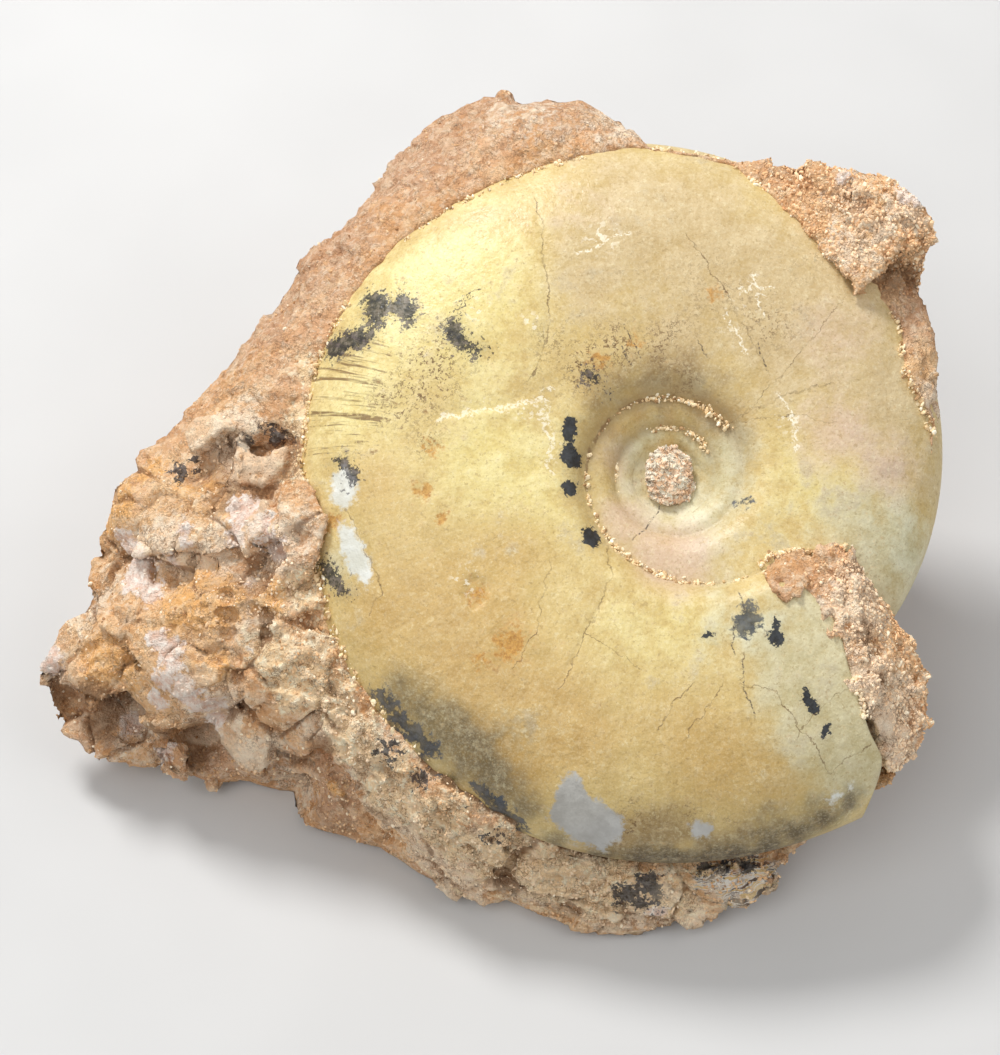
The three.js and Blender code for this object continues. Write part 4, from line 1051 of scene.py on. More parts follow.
def broken_stone_tree():
    """Breaks a smooth skin along its normals into facets, chips and grains."""
    tree, given, result = new_tree("broken_stone", {
        "Facet Size": float, "Facet Depth": float, "Chip Size": float, "Chip Depth": float,
        "Grain Size": float, "Grain Depth": float, "Crease Depth": float,
        "Stone": bpy.types.Material,
    })
    here = node(tree, "GeometryNodeInputPosition").outputs[0]
    weight = node(tree, "GeometryNodeInputNamedAttribute", {"Name": "rough"}, data_type="FLOAT")
    total = Field(tree, weight.outputs["Attribute"]) * 0.0
    for kind in ("Facet", "Chip"):
        size = Field(tree, given.outputs[kind + " Size"])
        depth = Field(tree, given.outputs[kind + " Depth"])
        wander = node(tree, "ShaderNodeTexNoise", {
            "Vector": here, "Scale": 0.8 / size, "Detail": 2.0,
        })
        shift = vector_math(tree, "SUBTRACT", wander.outputs["Color"], (0.5, 0.5, 0.5))
        place = vector_math(tree, "ADD", here, vector_math(tree, "SCALE", shift, size * 0.7))
        cells = node(tree, "ShaderNodeTexVoronoi", {
            "Vector": place, "Scale": 1.0 / size, "Smoothness": 0.08,
        }, feature="SMOOTH_F1")
        away = vector_math(tree, "SUBTRACT", place, cells.outputs["Position"])
        tip = vector_math(tree, "SUBTRACT", cells.outputs["Color"], (0.5, 0.5, 0.5))
        slope = Field(tree, vector_math(tree, "DOT_PRODUCT", away, tip))
        parts = node(tree, "ShaderNodeSeparateXYZ", {0: cells.outputs["Color"]})
        step = Field(tree, parts.outputs[0]) - 0.5
        broken = depth * (slope / size * 2.6 + step * 0.9)
        named = node(tree, "GeometryNodeInputNamedAttribute", {
            "Name": "blocky" if kind == "Facet" else "crumbling",
        }, data_type="FLOAT")
        total = total + broken * Field(tree, named.outputs["Attribute"])
        if kind == "Facet":
            edges = node(tree, "ShaderNodeTexVoronoi", {
                "Vector": place, "Scale": 1.0 / size,
            }, feature="DISTANCE_TO_EDGE")
            gaps = node(tree, "ShaderNodeTexNoise", {
                "Vector": here, "Scale": 1.0 / size, "Detail": 1.0,
            })
            crease = smooth_step(0.07, 0.0, Field(tree, edges.outputs["Distance"]))
            crease = crease * smooth_step(0.42, 0.58, Field(tree, gaps.outputs["Fac"]))
            crease = crease * Field(tree, named.outputs["Attribute"])
    total = total - crease * Field(tree, given.outputs["Crease Depth"])
    size = Field(tree, given.outputs["Grain Size"])
    grains = node(tree, "ShaderNodeTexNoise", {
        "Vector": here, "Scale": 1.0 / size, "Detail": 4.0, "Roughness": 0.65,
    })
    grain = (Field(tree, grains.outputs["Fac"]) * 2.0 - 1.0) * Field(
        tree, named.outputs["Attribute"])
    total = total + grain * Field(tree, given.outputs["Grain Depth"])
    total = total * Field(tree, weight.outputs["Attribute"])
    # kept for the painted shade in hollows and the painted highlights on crests
    kept = node(tree, "GeometryNodeStoreNamedAttribute", {
        "Geometry": given.outputs["Geometry"], "Name": "raised", "Value": total / MM,
    }, data_type="FLOAT", domain="POINT")
    # kept for the painted shade in the creases
    kept = node(tree, "GeometryNodeStoreNamedAttribute", {
        "Geometry": kept.outputs[0], "Name": "crease", "Value": crease,
    }, data_type="FLOAT", domain="POINT")
    normal = node(tree, "GeometryNodeInputNormal").outputs[0]
    placed = node(tree, "GeometryNodeSetPosition", {
        "Geometry": kept.outputs[0], "Offset": vector_math(tree, "SCALE", normal, total),
    })
    real = node(tree, "GeometryNodeRealizeInstances", {"Geometry": placed.outputs[0]})
    finished = node(tree, "GeometryNodeSetMaterial", {
        "Geometry": real.outputs[0], "Material": given.outputs["Stone"],
    })
    tree.links.new(finished.outputs[0], result.inputs[0])
    return tree


def weather(mesh):
    """Pits, lumps and ledges of the block, and where it is rough; its base stays flat."""
    points = points_of(mesh)
    normals = np.empty(len(points) * 3, np.float32)
    mesh.vertices.foreach_get("normal", normals)
    normals = normals.reshape(-1, 3)
    u, v, w = to_slab(points)
    move = np.zeros(len(points))
    for pu, pv, pw, size, rise in STONE_DENTS:
        far = (u - pu) ** 2 + (v - pv) ** 2 + (w - pw) ** 2
        move += rise * np.exp(-far / size ** 2)
    upward = smooth_step(0.1, 0.5, normals @ OUTWARD)
    for width, depth, line in STONE_GROOVES:
        near = beside_lines(u, v, [line])[1] + 0.5 * ripple(u, v, 3, 41)
        move -= depth * upward * np.exp(-(near / width) ** 2)
    layered, depth_in_layers = layers_at(u, v, w)
    move += 0.18 * layered * np.sin(depth_in_layers * 2.6)
    foot = smooth_step(0.4, 4.0, points[:, 2])
    points = points + normals * (move * foot)[:, None]
    points[:, 2] = np.where(points[:, 2] < 0.45, 0, points[:, 2])
    set_points(mesh, points)
    degrees = np.degrees(np.arctan2(v, u))
    from_seam = np.hypot(u, v) - around(CONTACT, degrees, 1)
    calm = blend(0.25, 1.0, smooth_step(0.3, 4.5, np.abs(from_seam)))
    calm = np.where((w < -5) | (from_seam < -6), 1.0, calm)
    su, sv, sw, size = SMOOTH_SCOOP
    calm *= 1 - 0.85 * np.exp(-((u - su) ** 2 + (v - sv) ** 2 + (w - sw) ** 2) / size ** 2)
    mark(mesh, "rough", foot * calm)
    lobe = smooth_step(-35, -68, u) * smooth_step(22, 2, v)
    front = smooth_step(-52, -62, v)
    wall = smooth_step(0.3, -0.1, normals @ OUTWARD) * 0.6
    plain = np.maximum(0.28 + 0.3 * lapping(u, v), wall)
    mark(mesh, "blocky", np.maximum(plain, np.maximum(lobe, front * 0.8)))
    beside = smooth_step(14, 4, from_seam) * smooth_step(25, 0, v)
    crumbling = 0.45 + 0.55 * np.maximum(beside, lapping(u, v)) + 0.3 * ripple(u, v, 17, 51)
    mark(mesh, "crumbling", np.clip(crumbling, 0.25, 1.2))


def lapping(u, v):
    """Where the stone laps over the shell, in its mouth and at the upper right."""
    return np.maximum(smooth_step(22, 28, u) * smooth_step(-12, -18, v),
                      smooth_step(12, 20, u) * smooth_step(30, 36, v))


def layers_at(u, v, w):
    """How clearly the stone is layered round the foot of the shell, and the depth in the layers."""
    reach = np.hypot(u, v)
    shown = smooth_step(-50, -60, v) * smooth_step(64, 67, reach) * smooth_step(-50, -38, u)
    return shown, reach * 1.1 - w * 0.3 + 0.8 * ripple(u, v, 14, 31) + 0.3 * ripple(u, v, 5, 32)


def mark_stone(mesh):
    """How deep each point lies in patches of another mineral or tone, some of them painted light or painted shade,
    and in the layers, in millimetres.
    """
    u, v, w = to_slab(points_of(mesh))
    layered, depth_in_layers = layers_at(u, v, w)
    mark(mesh, "layered", layered)
    # distance from the shell's edge, made large away from the bottom, for the painted shadow at the shell's foot
    from_shell = np.hypot(u, v) - around(CONTACT, np.degrees(np.arctan2(v, u)), 1)
    above = 5 * smooth_step(-50, -42, v) + 5 * smooth_step(14, 22, u)
    mark(mesh, "from_shell", np.abs(from_shell) + above)
    mark(mesh, "depth_in_layers", depth_in_layers)
    for name, patches in STONE_PATCHES.items():
        depth = np.full(len(u), -9.0)
        for pu, pv, pw, size in patches:
            far = np.sqrt((u - pu) ** 2 + (v - pv) ** 2 + (w - pw) ** 2)
            depth = np.maximum(depth, size - far)
        mark(mesh, name, depth)


def make_stone(material):
    smooth = fused("matrix_rock", [block_mesh()], [UPPER_WEDGE, MOUTH_WEDGE, *CHUNKS], STONE_VOXEL)
    weather(smooth)
    mesh = grown_mesh("matrix_rock", broken_stone_tree(), {
        "Facet Size": 10.0 * MM, "Facet Depth": 1.7 * MM, "Chip Size": 3.1 * MM,
        "Chip Depth": 0.8 * MM, "Grain Size": 1.1 * MM, "Grain Depth": 0.3 * MM,
        "Crease Depth": 0.9 * MM, "Stone": material,
    }, smooth)
    mesh = thinned(mesh, STONE_TRIANGLES)
    points = points_of(mesh)
    points[:, 2] = np.where(points[:, 2] < 0.25, 0, points[:, 2])
    set_points(mesh, points)
    mark_stone(mesh)
    return mesh


def thinned(mesh, triangles):
    """The mesh with about so many triangles, taken first where it is flat or out of sight."""
    holder = bpy.data.objects.new(mesh.name, mesh)
    bpy.context.scene.collection.objects.link(holder)
    points = points_of(mesh)
    u, v, w = to_slab(points)
    from_seam = np.hypot(u, v) - around(CONTACT, np.degrees(np.arctan2(v, u)), 1)
    normals = np.empty(len(points) * 3, np.float32)
    mesh.vertices.foreach_get("normal", normals)
    toward_camera = np.array([0.0, -math.cos(CAMERA_ELEVATION), math.sin(CAMERA_ELEVATION)])
    turned_away = normals.reshape(-1, 3) @ toward_camera < 0.2
    under_shell = (from_seam < -1.5) & (w < shell_height(u, v) - 1) & (w > -2.5)
    hidden = under_shell | turned_away | (points[:, 2] < 0.3)
    plain = holder.vertex_groups.new(name="plain")
    plain.add(np.flatnonzero(hidden).tolist(), 1.0, "REPLACE")
    thin = holder.modifiers.new("thin", "DECIMATE")
    thin.ratio = triangles / sum(len(face.vertices) - 2 for face in mesh.polygons)
    thin.vertex_group = plain.name
    thin.vertex_group_factor = 10
    return finished_mesh(holder)


def plug_lumps():
    """Corner points of the sediment in the middle of the coil."""
    corners = [(0, 0, PLUG_TOP), (1.6, -1.4, PLUG_TOP), (-1.5, 1.2, PLUG_TOP - 0.3)]
    for degrees, radius, w in PLUG_EDGE:
        u, v = math.cos(math.radians(degrees)), math.sin(math.radians(degrees))
        corners += [(u * radius, v * radius, w), (u * radius * 0.8, v * radius * 0.8, PLUG_FOOT)]
    return corners


def make_plug(material):
    smooth = fused("umbilicus_crumbs", [], [plug_lumps()], 0.13)
    mark(smooth, "rough", np.ones(len(smooth.vertices)))
    mark(smooth, "blocky", np.ones(len(smooth.vertices)))
    mark(smooth, "crumbling", np.ones(len(smooth.vertices)))
    mesh = grown_mesh("umbilicus_crumbs", broken_stone_tree(), {
        "Facet Size": 2.2 * MM, "Facet Depth": 0.6 * MM, "Chip Size": 0.7 * MM,
        "Chip Depth": 0.28 * MM, "Grain Size": 0.35 * MM, "Grain Depth": 0.12 * MM,
        "Crease Depth": 0.0,
        "Stone": material,
    }, smooth)
    mark_stone(mesh)
    return mesh


def loose_grains_tree():
    """Small many-sided grains strewn over a skin, each with its own tone."""
    tree, given, result = new_tree("loose_grains", {
        "Grains per Area": float, "Smallest": float, "Largest": float, "Seed": int,
        "Stone": bpy.types.Material,
    })
    crumbly = node(tree, "GeometryNodeInputNamedAttribute", {"Name": "crumbly"},
                   data_type="FLOAT")
    strewn = node(tree, "GeometryNodeDistributePointsOnFaces", {
        "Mesh": given.outputs["Geometry"], "Seed": given.outputs["Seed"],
        "Density": Field(tree, given.outputs["Grains per Area"]) * Field(
            tree, crumbly.outputs["Attribute"]),
    }, distribute_method="RANDOM")
    finish_grains(tree, given, result, strewn.outputs["Points"])
    return tree


def finish_grains(tree, given, result, points):
    """Puts a turned, scaled grain with its own tone on every point, as one plain mesh."""
    seed = given.outputs["Seed"]
    tone = node(tree, "FunctionNodeRandomValue", {"Seed": seed}, data_type="FLOAT")
    toned = node(tree, "GeometryNodeStoreNamedAttribute", {
        "Geometry": points, "Name": "tone", "Value": tone.outputs[1],
    }, data_type="FLOAT", domain="POINT")
    pick = node(tree, "FunctionNodeRandomValue", {
        "Seed": Field(tree, seed) + 1.0,
    }, data_type="FLOAT")
    small = Field(tree, given.outputs["Smallest"])
    large = Field(tree, given.outputs["Largest"])
    size = blend(small, large, Field(tree, pick.outputs[1]) ** 2.5)
    shape = node(tree, "FunctionNodeRandomValue", {
        "Seed": Field(tree, seed) + 2.0, "Min": (0.6, 0.5, 0.35), "Max": (1.5, 1.0, 0.8),
    }, data_type="FLOAT_VECTOR")
    turn = node(tree, "FunctionNodeRandomValue", {
        "Seed": Field(tree, seed) + 3.0, "Min": (0.0, 0.0, 0.0), "Max": (6.283, 6.283, 6.283),
    }, data_type="FLOAT_VECTOR")
    grain = node(tree, "GeometryNodeMeshIcoSphere", {"Radius": 1.0, "Subdivisions": 1})
    placed = node(tree, "GeometryNodeInstanceOnPoints", {
        "Points": toned.outputs[0], "Instance": grain.outputs["Mesh"],
        "Rotation": turn.outputs[0],
        "Scale": vector_math(tree, "SCALE", shape.outputs[0], size),
    })
    real = node(tree, "GeometryNodeRealizeInstances", {"Geometry": placed.outputs[0]})
    finished = node(tree, "GeometryNodeSetMaterial", {
        "Geometry": real.outputs[0], "Material": given.outputs["Stone"],
    })
    tree.links.new(finished.outputs[0], result.inputs[0])


def all_over(u, v, w):
    """How thickly loose grains lie on the block."""
    front = smooth_step(14, -10, v)
    gritty = smooth_step(16, 8, np.hypot(u, v) - 60) * smooth_step(-50, -56, u) * smooth_step(
        -8, -18, v)
    return 0.35 + 0.65 * front + 2.5 * gritty + 1.2 * smooth_step(-46, -54, v)


def on_wedges(u, v, w):
    """How thickly crumbs lie on the stone that laps over the shell."""
    return 7.5 * lapping(u, v) * smooth_step(-6, 1, w)


def make_grains(name, stone_mesh, material, share, largest, seed):
    """Loose grains on the block, as thick at each place as `share` says."""
    bed = stone_mesh.copy()
    points = points_of(bed)
    u, v, w = to_slab(points)
    hidden = (np.hypot(u, v) < around(CONTACT, np.degrees(np.arctan2(v, u)), 1) - 0.5) & (
        w < shell_height(u, v) + 0.1)
    crumbly = smooth_step(1.0, 5.0, points[:, 2]) * np.where(hidden, 0, share(u, v, w))
    mark(bed, "crumbly", crumbly)
    mesh = grown_mesh(name, loose_grains_tree(), {
        "Grains per Area": 400000.0, "Smallest": 0.14 * MM, "Largest": largest * MM, "Seed": seed,
        "Stone": material,
    }, bed)
    mark_stone(mesh)
    return mesh


def crumb_lines():
    """Lines that crumbs cling to, as edges with a spread and a share of crumbs on each point."""
    points, edges, spreads, shares = [], [], [], []

    def add_line(u, v, w, spread, share):
        first = len(points)
        points.extend(from_slab(u, v, w))
        edges.extend((first + i, first + i + 1) for i in range(len(u) - 1))
        spreads.extend([spread] * len(u))
        shares.extend([share] * len(u))

    for start, end, spread, share in SEAM_CRUMBS:
        back = np.linspace(start, end, 60)
        angle = MOUTH_ANGLE - 2 * math.pi * back
        radius = seam_at(back)
        radius = radius * lean_factor(angle, radius)
        u, v = radius * np.cos(angle), radius * np.sin(angle)
        add_line(u, v, shell_height(u * 0.995, v * 0.995) + 0.05, spread, share)
    for degrees, end, spread, share in EDGE_CRUMBS:
        angle = np.radians(np.linspace(degrees, end, 80))
        reach = around(CONTACT, np.degrees(angle), 1) - 0.4
        u, v = reach * np.cos(angle), reach * np.sin(angle)
        add_line(u, v, shell_height(u, v) + 0.15, spread, share)
    for line in WEDGE_CRUMBS:
        u, v = np.array(line, float).T
        add_line(u, v, shell_height(u, v) + 0.2, 0.5, 1.0)
    mesh = bpy.data.meshes.new("crumb_lines")
    mesh.from_pydata((np.array(points) * MM).tolist(), edges, [])
    mark(mesh, "spread", np.array(spreads) * MM)
    mark(mesh, "share", shares)
    return mesh


def seam_crumbs_tree():
    """Crumbs along lines: evenly spaced, thinned out by each line's share, and spread a little."""
    tree, given, result = new_tree("seam_crumbs", {
        "Spacing": float, "Smallest": float, "Largest": float, "Seed": int,
        "Stone": bpy.types.Material,
    })
    curve = node(tree, "GeometryNodeMeshToCurve", {"Mesh": given.outputs["Geometry"]})
    strewn = node(tree, "GeometryNodeCurveToPoints", {
        "Curve": curve.outputs[0], "Length": given.outputs["Spacing"],
    }, mode="LENGTH")
    share = node(tree, "GeometryNodeInputNamedAttribute", {"Name": "share"}, data_type="FLOAT")
    spread = node(tree, "GeometryNodeInputNamedAttribute", {"Name": "spread"}, data_type="FLOAT")
    seed = Field(tree, given.outputs["Seed"])
    chance = node(tree, "FunctionNodeRandomValue", {"Seed": seed + 5.0}, data_type="FLOAT")
    clumps = node(tree, "ShaderNodeTexNoise", {"Scale": 1.0 / (2.5 * MM), "Detail": 2.0})
    lonely = Field(tree, chance.outputs[1]) + (Field(tree, clumps.outputs["Fac"]) - 0.5) * 2.0
    dropped = node(tree, "GeometryNodeDeleteGeometry", {
        "Geometry": strewn.outputs["Points"],
        "Selection": (lonely - Field(tree, share.outputs["Attribute"])).math("GREATER_THAN", 0.0),
    }, domain="POINT")
    aside = node(tree, "FunctionNodeRandomValue", {
        "Seed": seed + 6.0, "Min": (-1.0, -1.0, -0.3), "Max": (1.0, 1.0, 0.4),
    }, data_type="FLOAT_VECTOR")
    placed = node(tree, "GeometryNodeSetPosition", {
        "Geometry": dropped.outputs[0],
        "Offset": vector_math(tree, "SCALE", aside.outputs[0],
                              Field(tree, spread.outputs["Attribute"])),
    })
    finish_grains(tree, given, result, placed.outputs[0])
    return tree


def make_seam_crumbs(material):
    """Crumbs of stone that still cling to the shell's seams and to the edge of the block."""
    mesh = grown_mesh("seam_crumbs", seam_crumbs_tree(), {
        "Spacing": 0.09 * MM, "Smallest": 0.2 * MM, "Largest": 0.65 * MM, "Seed": 11,
        "Stone": material,
    }, crumb_lines())
    mark_stone(mesh)
    return mesh


def new_material(name):
    material = bpy.data.materials.new(name)
    material.use_nodes = True
    return material, material.node_tree, material.node_tree.nodes["Principled BSDF"]


def stored_number(tree, name):
    return Field(tree, node(tree, "ShaderNodeAttribute", attribute_name=name).outputs["Fac"])


def place_in(tree, seed):
    """The block's own coordinates, moved aside so that each seed gives another pattern."""
    place = node(tree, "ShaderNodeTexCoord").outputs["Object"]
    return vector_math(tree, "ADD", place, (0.37 * seed, -0.23 * seed, 0.31 * seed))


def noise(tree, size, detail=4.0, roughness=0.55, seed=0.0):
    """Noise with lumps of about `size` millimetres, spread out evenly from 0 to 1."""
    made = node(tree, "ShaderNodeTexNoise", {
        "Vector": place_in(tree, seed), "Scale": 1000.0 / size, "Detail": detail,
        "Roughness": roughness,
    })
    return smooth_step(0.28, 0.72, Field(tree, made.outputs["Fac"]))


def veins(tree, size, width, seed):
    """Thin wandering lines, 1 on the line, where noise passes its middle."""
    made = node(tree, "ShaderNodeTexNoise", {
        "Vector": place_in(tree, seed), "Scale": 1000.0 / size, "Detail": 3.0,
        "Roughness": 0.6,
    })
    away = (Field(tree, made.outputs["Fac"]) - 0.5).math("ABSOLUTE")
    return smooth_step(width, width * 0.3, away)


def shards(tree, size, seed):
    """A tone from 0 to 1 for each angular fragment about `size` millimetres across."""
    place = place_in(tree, seed)
    wander = node(tree, "ShaderNodeTexNoise", {
        "Vector": place, "Scale": 2200.0 / size, "Detail": 2.0,
    })
    shift = vector_math(tree, "SUBTRACT", wander.outputs["Color"], (0.5, 0.5, 0.5))
    place = vector_math(tree, "ADD", place, vector_math(tree, "SCALE", shift, 1.1 * size * MM))
    made = node(tree, "ShaderNodeTexVoronoi", {"Vector": place, "Scale": 1000.0 / size})
    return Field(tree, node(tree, "ShaderNodeSeparateXYZ", {0: made.outputs["Color"]}).outputs[0])


def mixed(tree, share, first, second):
    """One colour painted over another; each is a socket or three numbers."""
    made = tree.nodes.new("ShaderNodeMix")
    made.data_type = "RGBA"
    for place, value in zip((made.inputs[0], made.inputs[6], made.inputs[7]),
                            (share, first, second)):
        if isinstance(value, Field):
            tree.links.new(value.socket, place)
        elif isinstance(value, bpy.types.NodeSocket):
            tree.links.new(value, place)
        else:
            place.default_value = (*value, 1.0) if isinstance(value, tuple) else value
    return made.outputs[2]


def bumped(tree, height):
    """A surface normal from a height in millimetres."""
    made = node(tree, "ShaderNodeBump", {"Height": height, "Distance": MM, "Strength": 1.0})
    return made.outputs["Normal"]


def shell_finish():
    """Satin calcite, lemon to ochre, with dendrites, stains, flecks, cracks and spar, and painted shade in the
    coil's middle, along its seams and along the lower rim.
    """
    material, tree, shader = new_material("fossil_shell")
    cloud = noise(tree, 15.0, 3.0)
    mottle = noise(tree, 4.5, 4.0, 0.6, seed=3.0)
    ragged = noise(tree, 1.4, 4.0, 0.7, seed=8.0)
    fine = noise(tree, 0.4, 3.0, 0.65, seed=5.0)
    lace = noise(tree, 0.55, 4.0, 0.75, seed=14.0)

    def zone(name):
        wander = (cloud - 0.5) * 0.3 + (mottle - 0.5) * 0.3 + (ragged - 0.5) * 0.12
        return smooth_step(0.12, 0.88, stored_number(tree, name) + wander)

    def covered(name, reach):
        """Whether a stain covers a spot: fully inside its outline, in flecks near the edge."""
        depth = stored_number(tree, name) + (ragged - 0.5) * reach + (mottle - 0.5) * reach
        cover = smooth_step(-reach, reach * 0.7, depth)
        return smooth_step(0.0, 0.1, cover * 1.06 - lace)

    growth = Field(tree, node(tree, "ShaderNodeTexNoise", {
        "Vector": node(tree, "ShaderNodeCombineXYZ", {
            0: stored_number(tree, "along") / 1.6, 1: stored_number(tree, "place") * 2.5,
        }).outputs[0], "Scale": 1.0, "Detail": 3.0, "Roughness": 0.7,
    }).outputs["Fac"])

    colour = mixed(tree, mottle, (0.61, 0.44, 0.17), (0.73, 0.57, 0.25))
    colour = mixed(tree, zone("sunny"), colour,
                   mixed(tree, mottle, (0.76, 0.62, 0.23), (0.84, 0.73, 0.35)))
    colour = mixed(tree, zone("beige"), colour,
                   mixed(tree, mottle, (0.55, 0.40, 0.20), (0.68, 0.53, 0.30)))
    # ochre, partly painted shade in the second groove of the coil
    colour = mixed(tree, zone("ochre") * 0.9, colour,
                   mixed(tree, mottle, (0.50, 0.30, 0.085), (0.64, 0.43, 0.16)))
    colour = mixed(tree, zone("greenish") * 0.85, colour,
                   mixed(tree, mottle, (0.52, 0.46, 0.26), (0.67, 0.62, 0.42)))
    colour = mixed(tree, zone("milky") * 0.85, colour,
                   mixed(tree, mottle, (0.56, 0.53, 0.33), (0.76, 0.74, 0.54)))
    colour = mixed(tree, zone("rosy") * 0.8, colour, (0.66, 0.47, 0.36))
    # painted shade on the coil's inner wall, in its grooves and along the lower rim, over a brown stain
    colour = mixed(tree, zone("umber_and_shade") * 0.8, colour,
                   mixed(tree, ragged, (0.20, 0.12, 0.045), (0.36, 0.25, 0.12)))
    # painted shade along the lower rim, and a smoky stain round the black film
    colour = mixed(tree, zone("smoky_and_rim_shade") * 0.85, colour,
                   mixed(tree, ragged, (0.08, 0.065, 0.04), (0.24, 0.19, 0.11)))
    colour = mixed(tree, zone("shaded") * 0.9, colour,
                   mixed(tree, ragged, (0.025, 0.017, 0.01), (0.10, 0.065, 0.03)))
    colour = mixed(tree, smooth_step(0.5, 0.72, growth) * 0.07, colour, (0.42, 0.28, 0.10))
    colour = mixed(tree, smooth_step(0.5, 0.3, growth) * 0.08, colour, (0.93, 0.84, 0.55))
    colour = mixed(tree, (ragged - 0.5) * 0.35, colour, (0.95, 0.86, 0.55))
    colour = mixed(tree, (ragged * -1.0 + 0.5) * 0.35, colour, (0.46, 0.31, 0.10))
    colour = mixed(tree, (fine - 0.5) * 0.3, colour, (0.97, 0.90, 0.62))
    colour = mixed(tree, (lace * -1.0 + 0.42) * 0.7, colour, (0.36, 0.23, 0.08))
    glints = smooth_step(0.80, 0.90, noise(tree, 0.9, 3.0, 0.6, seed=81.0))
    colour = mixed(tree, glints * mottle * 0.25, colour, (1.0, 0.93, 0.62))
    pores = smooth_step(0.86, 0.93, noise(tree, 0.7, 3.0, 0.6, seed=84.0))
    colour = mixed(tree, pores * 0.35, colour, (0.33, 0.21, 0.08))

    stripes = smooth_step(0.50, 0.60, growth) * smooth_step(0.3, 0.7, stored_number(
        tree, "striped") + (ragged - 0.5) * 0.9)
    colour = mixed(tree, stripes * 0.85, colour, (0.18, 0.10, 0.04))
    flecked = zone("flecked")
    squiggles = larger(veins(tree, 1.6, 0.035, 60.0), veins(tree, 0.8, 0.03, 64.0))
    squiggles = squiggles * smooth_step(0.5, 0.62, noise(tree, 1.0, 2.0, seed=66.0))
    specks = smooth_step(0.85, 0.92, noise(tree, 0.7, 3.0, seed=68.0))
    squiggles = larger(squiggles, specks * 0.9)
    colour = mixed(tree, flecked * 0.28, colour, (0.50, 0.34, 0.14))
    colour = mixed(tree, squiggles * flecked * 0.9, colour, (0.15, 0.08, 0.03))
    rust = smooth_step(0.25, 0.8, stored_number(tree, "rust") + (ragged - 0.5) * 0.9)
    colour = mixed(tree, rust * 0.8, colour, mixed(tree, lace, (0.36, 0.14, 0.02),
                                                   (0.68, 0.36, 0.08)))
    colour = mixed(tree, stored_number(tree, "seam_shade") * (0.45 + mottle * 0.3), colour,
                   (0.36, 0.235, 0.10))
    # Darker brown in broken lines along the first seam
    seam_darkening = smooth_step(0.45, 0.1, stored_number(tree, "seam_gap") + (ragged - 0.5) * 0.5)
    colour = mixed(tree, seam_darkening * smooth_step(0.3, 0.75, mottle) * 0.8, colour,
                   (0.26, 0.15, 0.06))

    white = smooth_step(-0.6, 0.7, stored_number(tree, "white") + (ragged - 0.5) * 1.4)
    colour = mixed(tree, white * 0.85, colour, mixed(tree, mottle, (0.66, 0.67, 0.60),
                                                     (0.86, 0.89, 0.87)))
    spar = smooth_step(-0.5, 0.5, stored_number(tree, "spar") + (ragged - 0.5) * 1.2)
    colour = mixed(tree, spar * 0.9, colour, mixed(tree, mottle, (0.36, 0.36, 0.35),
                                                   (0.54, 0.545, 0.53)))
    film = smooth_step(-0.4, 0.5, stored_number(tree, "film") + (ragged - 0.5) * 2.2)
    colour = mixed(tree, film * (0.75 + mottle * 0.2), colour,
                   mixed(tree, ragged, (0.003, 0.005, 0.010), (0.065, 0.08, 0.105)))
    stained = larger(stored_number(tree, "black") - 0.6, stored_number(tree, "dendrites"))
    smudge = smooth_step(-2.2, 0.8, stained + (ragged - 0.5) * 2.0)
    colour = mixed(tree, smudge * 0.32, colour, (0.24, 0.20, 0.11))
    satellites = smooth_step(0.84, 0.91, noise(tree, 0.8, 3.0, seed=77.0)) * smooth_step(
        -3.0, -1.0, stored_number(tree, "dendrites") + (ragged - 0.5) * 2.0)
    solid = smooth_step(-0.06, 0.06, stored_number(tree, "black") + (ragged - 0.5) * 0.9 + (
        lace - 0.5) * 0.5)
    dendrites = larger(covered("dendrites", 1.5), satellites)
    colour = mixed(tree, dendrites * (0.98 - ragged * 0.25), colour, mixed(
        tree, smooth_step(0.4, 0.9, ragged), (0.008, 0.010, 0.016), (0.085, 0.07, 0.085)))
    colour = mixed(tree, solid * 0.96, colour, mixed(tree, ragged, (0.003, 0.004, 0.008),
                                                     (0.028, 0.036, 0.050)))

    def hairline(name, width, wander):
        across = stored_number(tree, name + "_across") + (mottle - 0.5) * wander + (
            ragged - 0.5) * wander * 0.5
        line = smooth_step(width, width * 0.3, across.math("ABSOLUTE"))
        return line * smooth_step(1.6, 0.9, stored_number(tree, name + "_near"))

    cracks = larger(hairline("crack_a", 0.16, 1.0), hairline("crack_b", 0.12, 1.0))
    cracks = cracks * (noise(tree, 3.0, 2.0, seed=21.0) * 0.75 + 0.2)
    colour = mixed(tree, cracks * 0.9, colour, (0.17, 0.10, 0.04))
    inked = hairline("inked", 0.2, 0.7) * smooth_step(0.3, 0.6, lace)
    colour = mixed(tree, inked * 0.85, colour, (0.07, 0.05, 0.04))
    scratch = hairline("scratch", 0.45, 1.4) * smooth_step(0.45, 0.6, lace)
    flake = hairline("flake", 0.65, 2.2) * smooth_step(0.36, 0.5, lace)
    chips = zone("flaky") * smooth_step(0.74, 0.84, noise(tree, 1.1, 3.0, seed=75.0))
    pale = larger(larger(scratch, flake * 0.8), chips)
    colour = mixed(tree, pale * 0.85, colour, (0.95, 0.88, 0.70))
    tree.links.new(colour, shader.inputs["Base Color"])

    gloss = 0.42 + (mottle - 0.5) * 0.16 + (fine - 0.5) * 0.1 + rust * 0.3 + pale * 0.35
    tree.links.new(gloss.socket, shader.inputs["Roughness"])
    shader.inputs["Specular IOR Level"].default_value = 0.35
    swell = noise(tree, 4.5, 2.0, seed=3.0)
    grain = noise(tree, 1.2, 2.0, 0.7, seed=8.0)
    height = (swell - 0.5) * 0.09 + (grain - 0.5) * 0.05 + (growth - 0.5) * 0.05
    tree.links.new(bumped(tree, height), shader.inputs["Normal"])
    return material


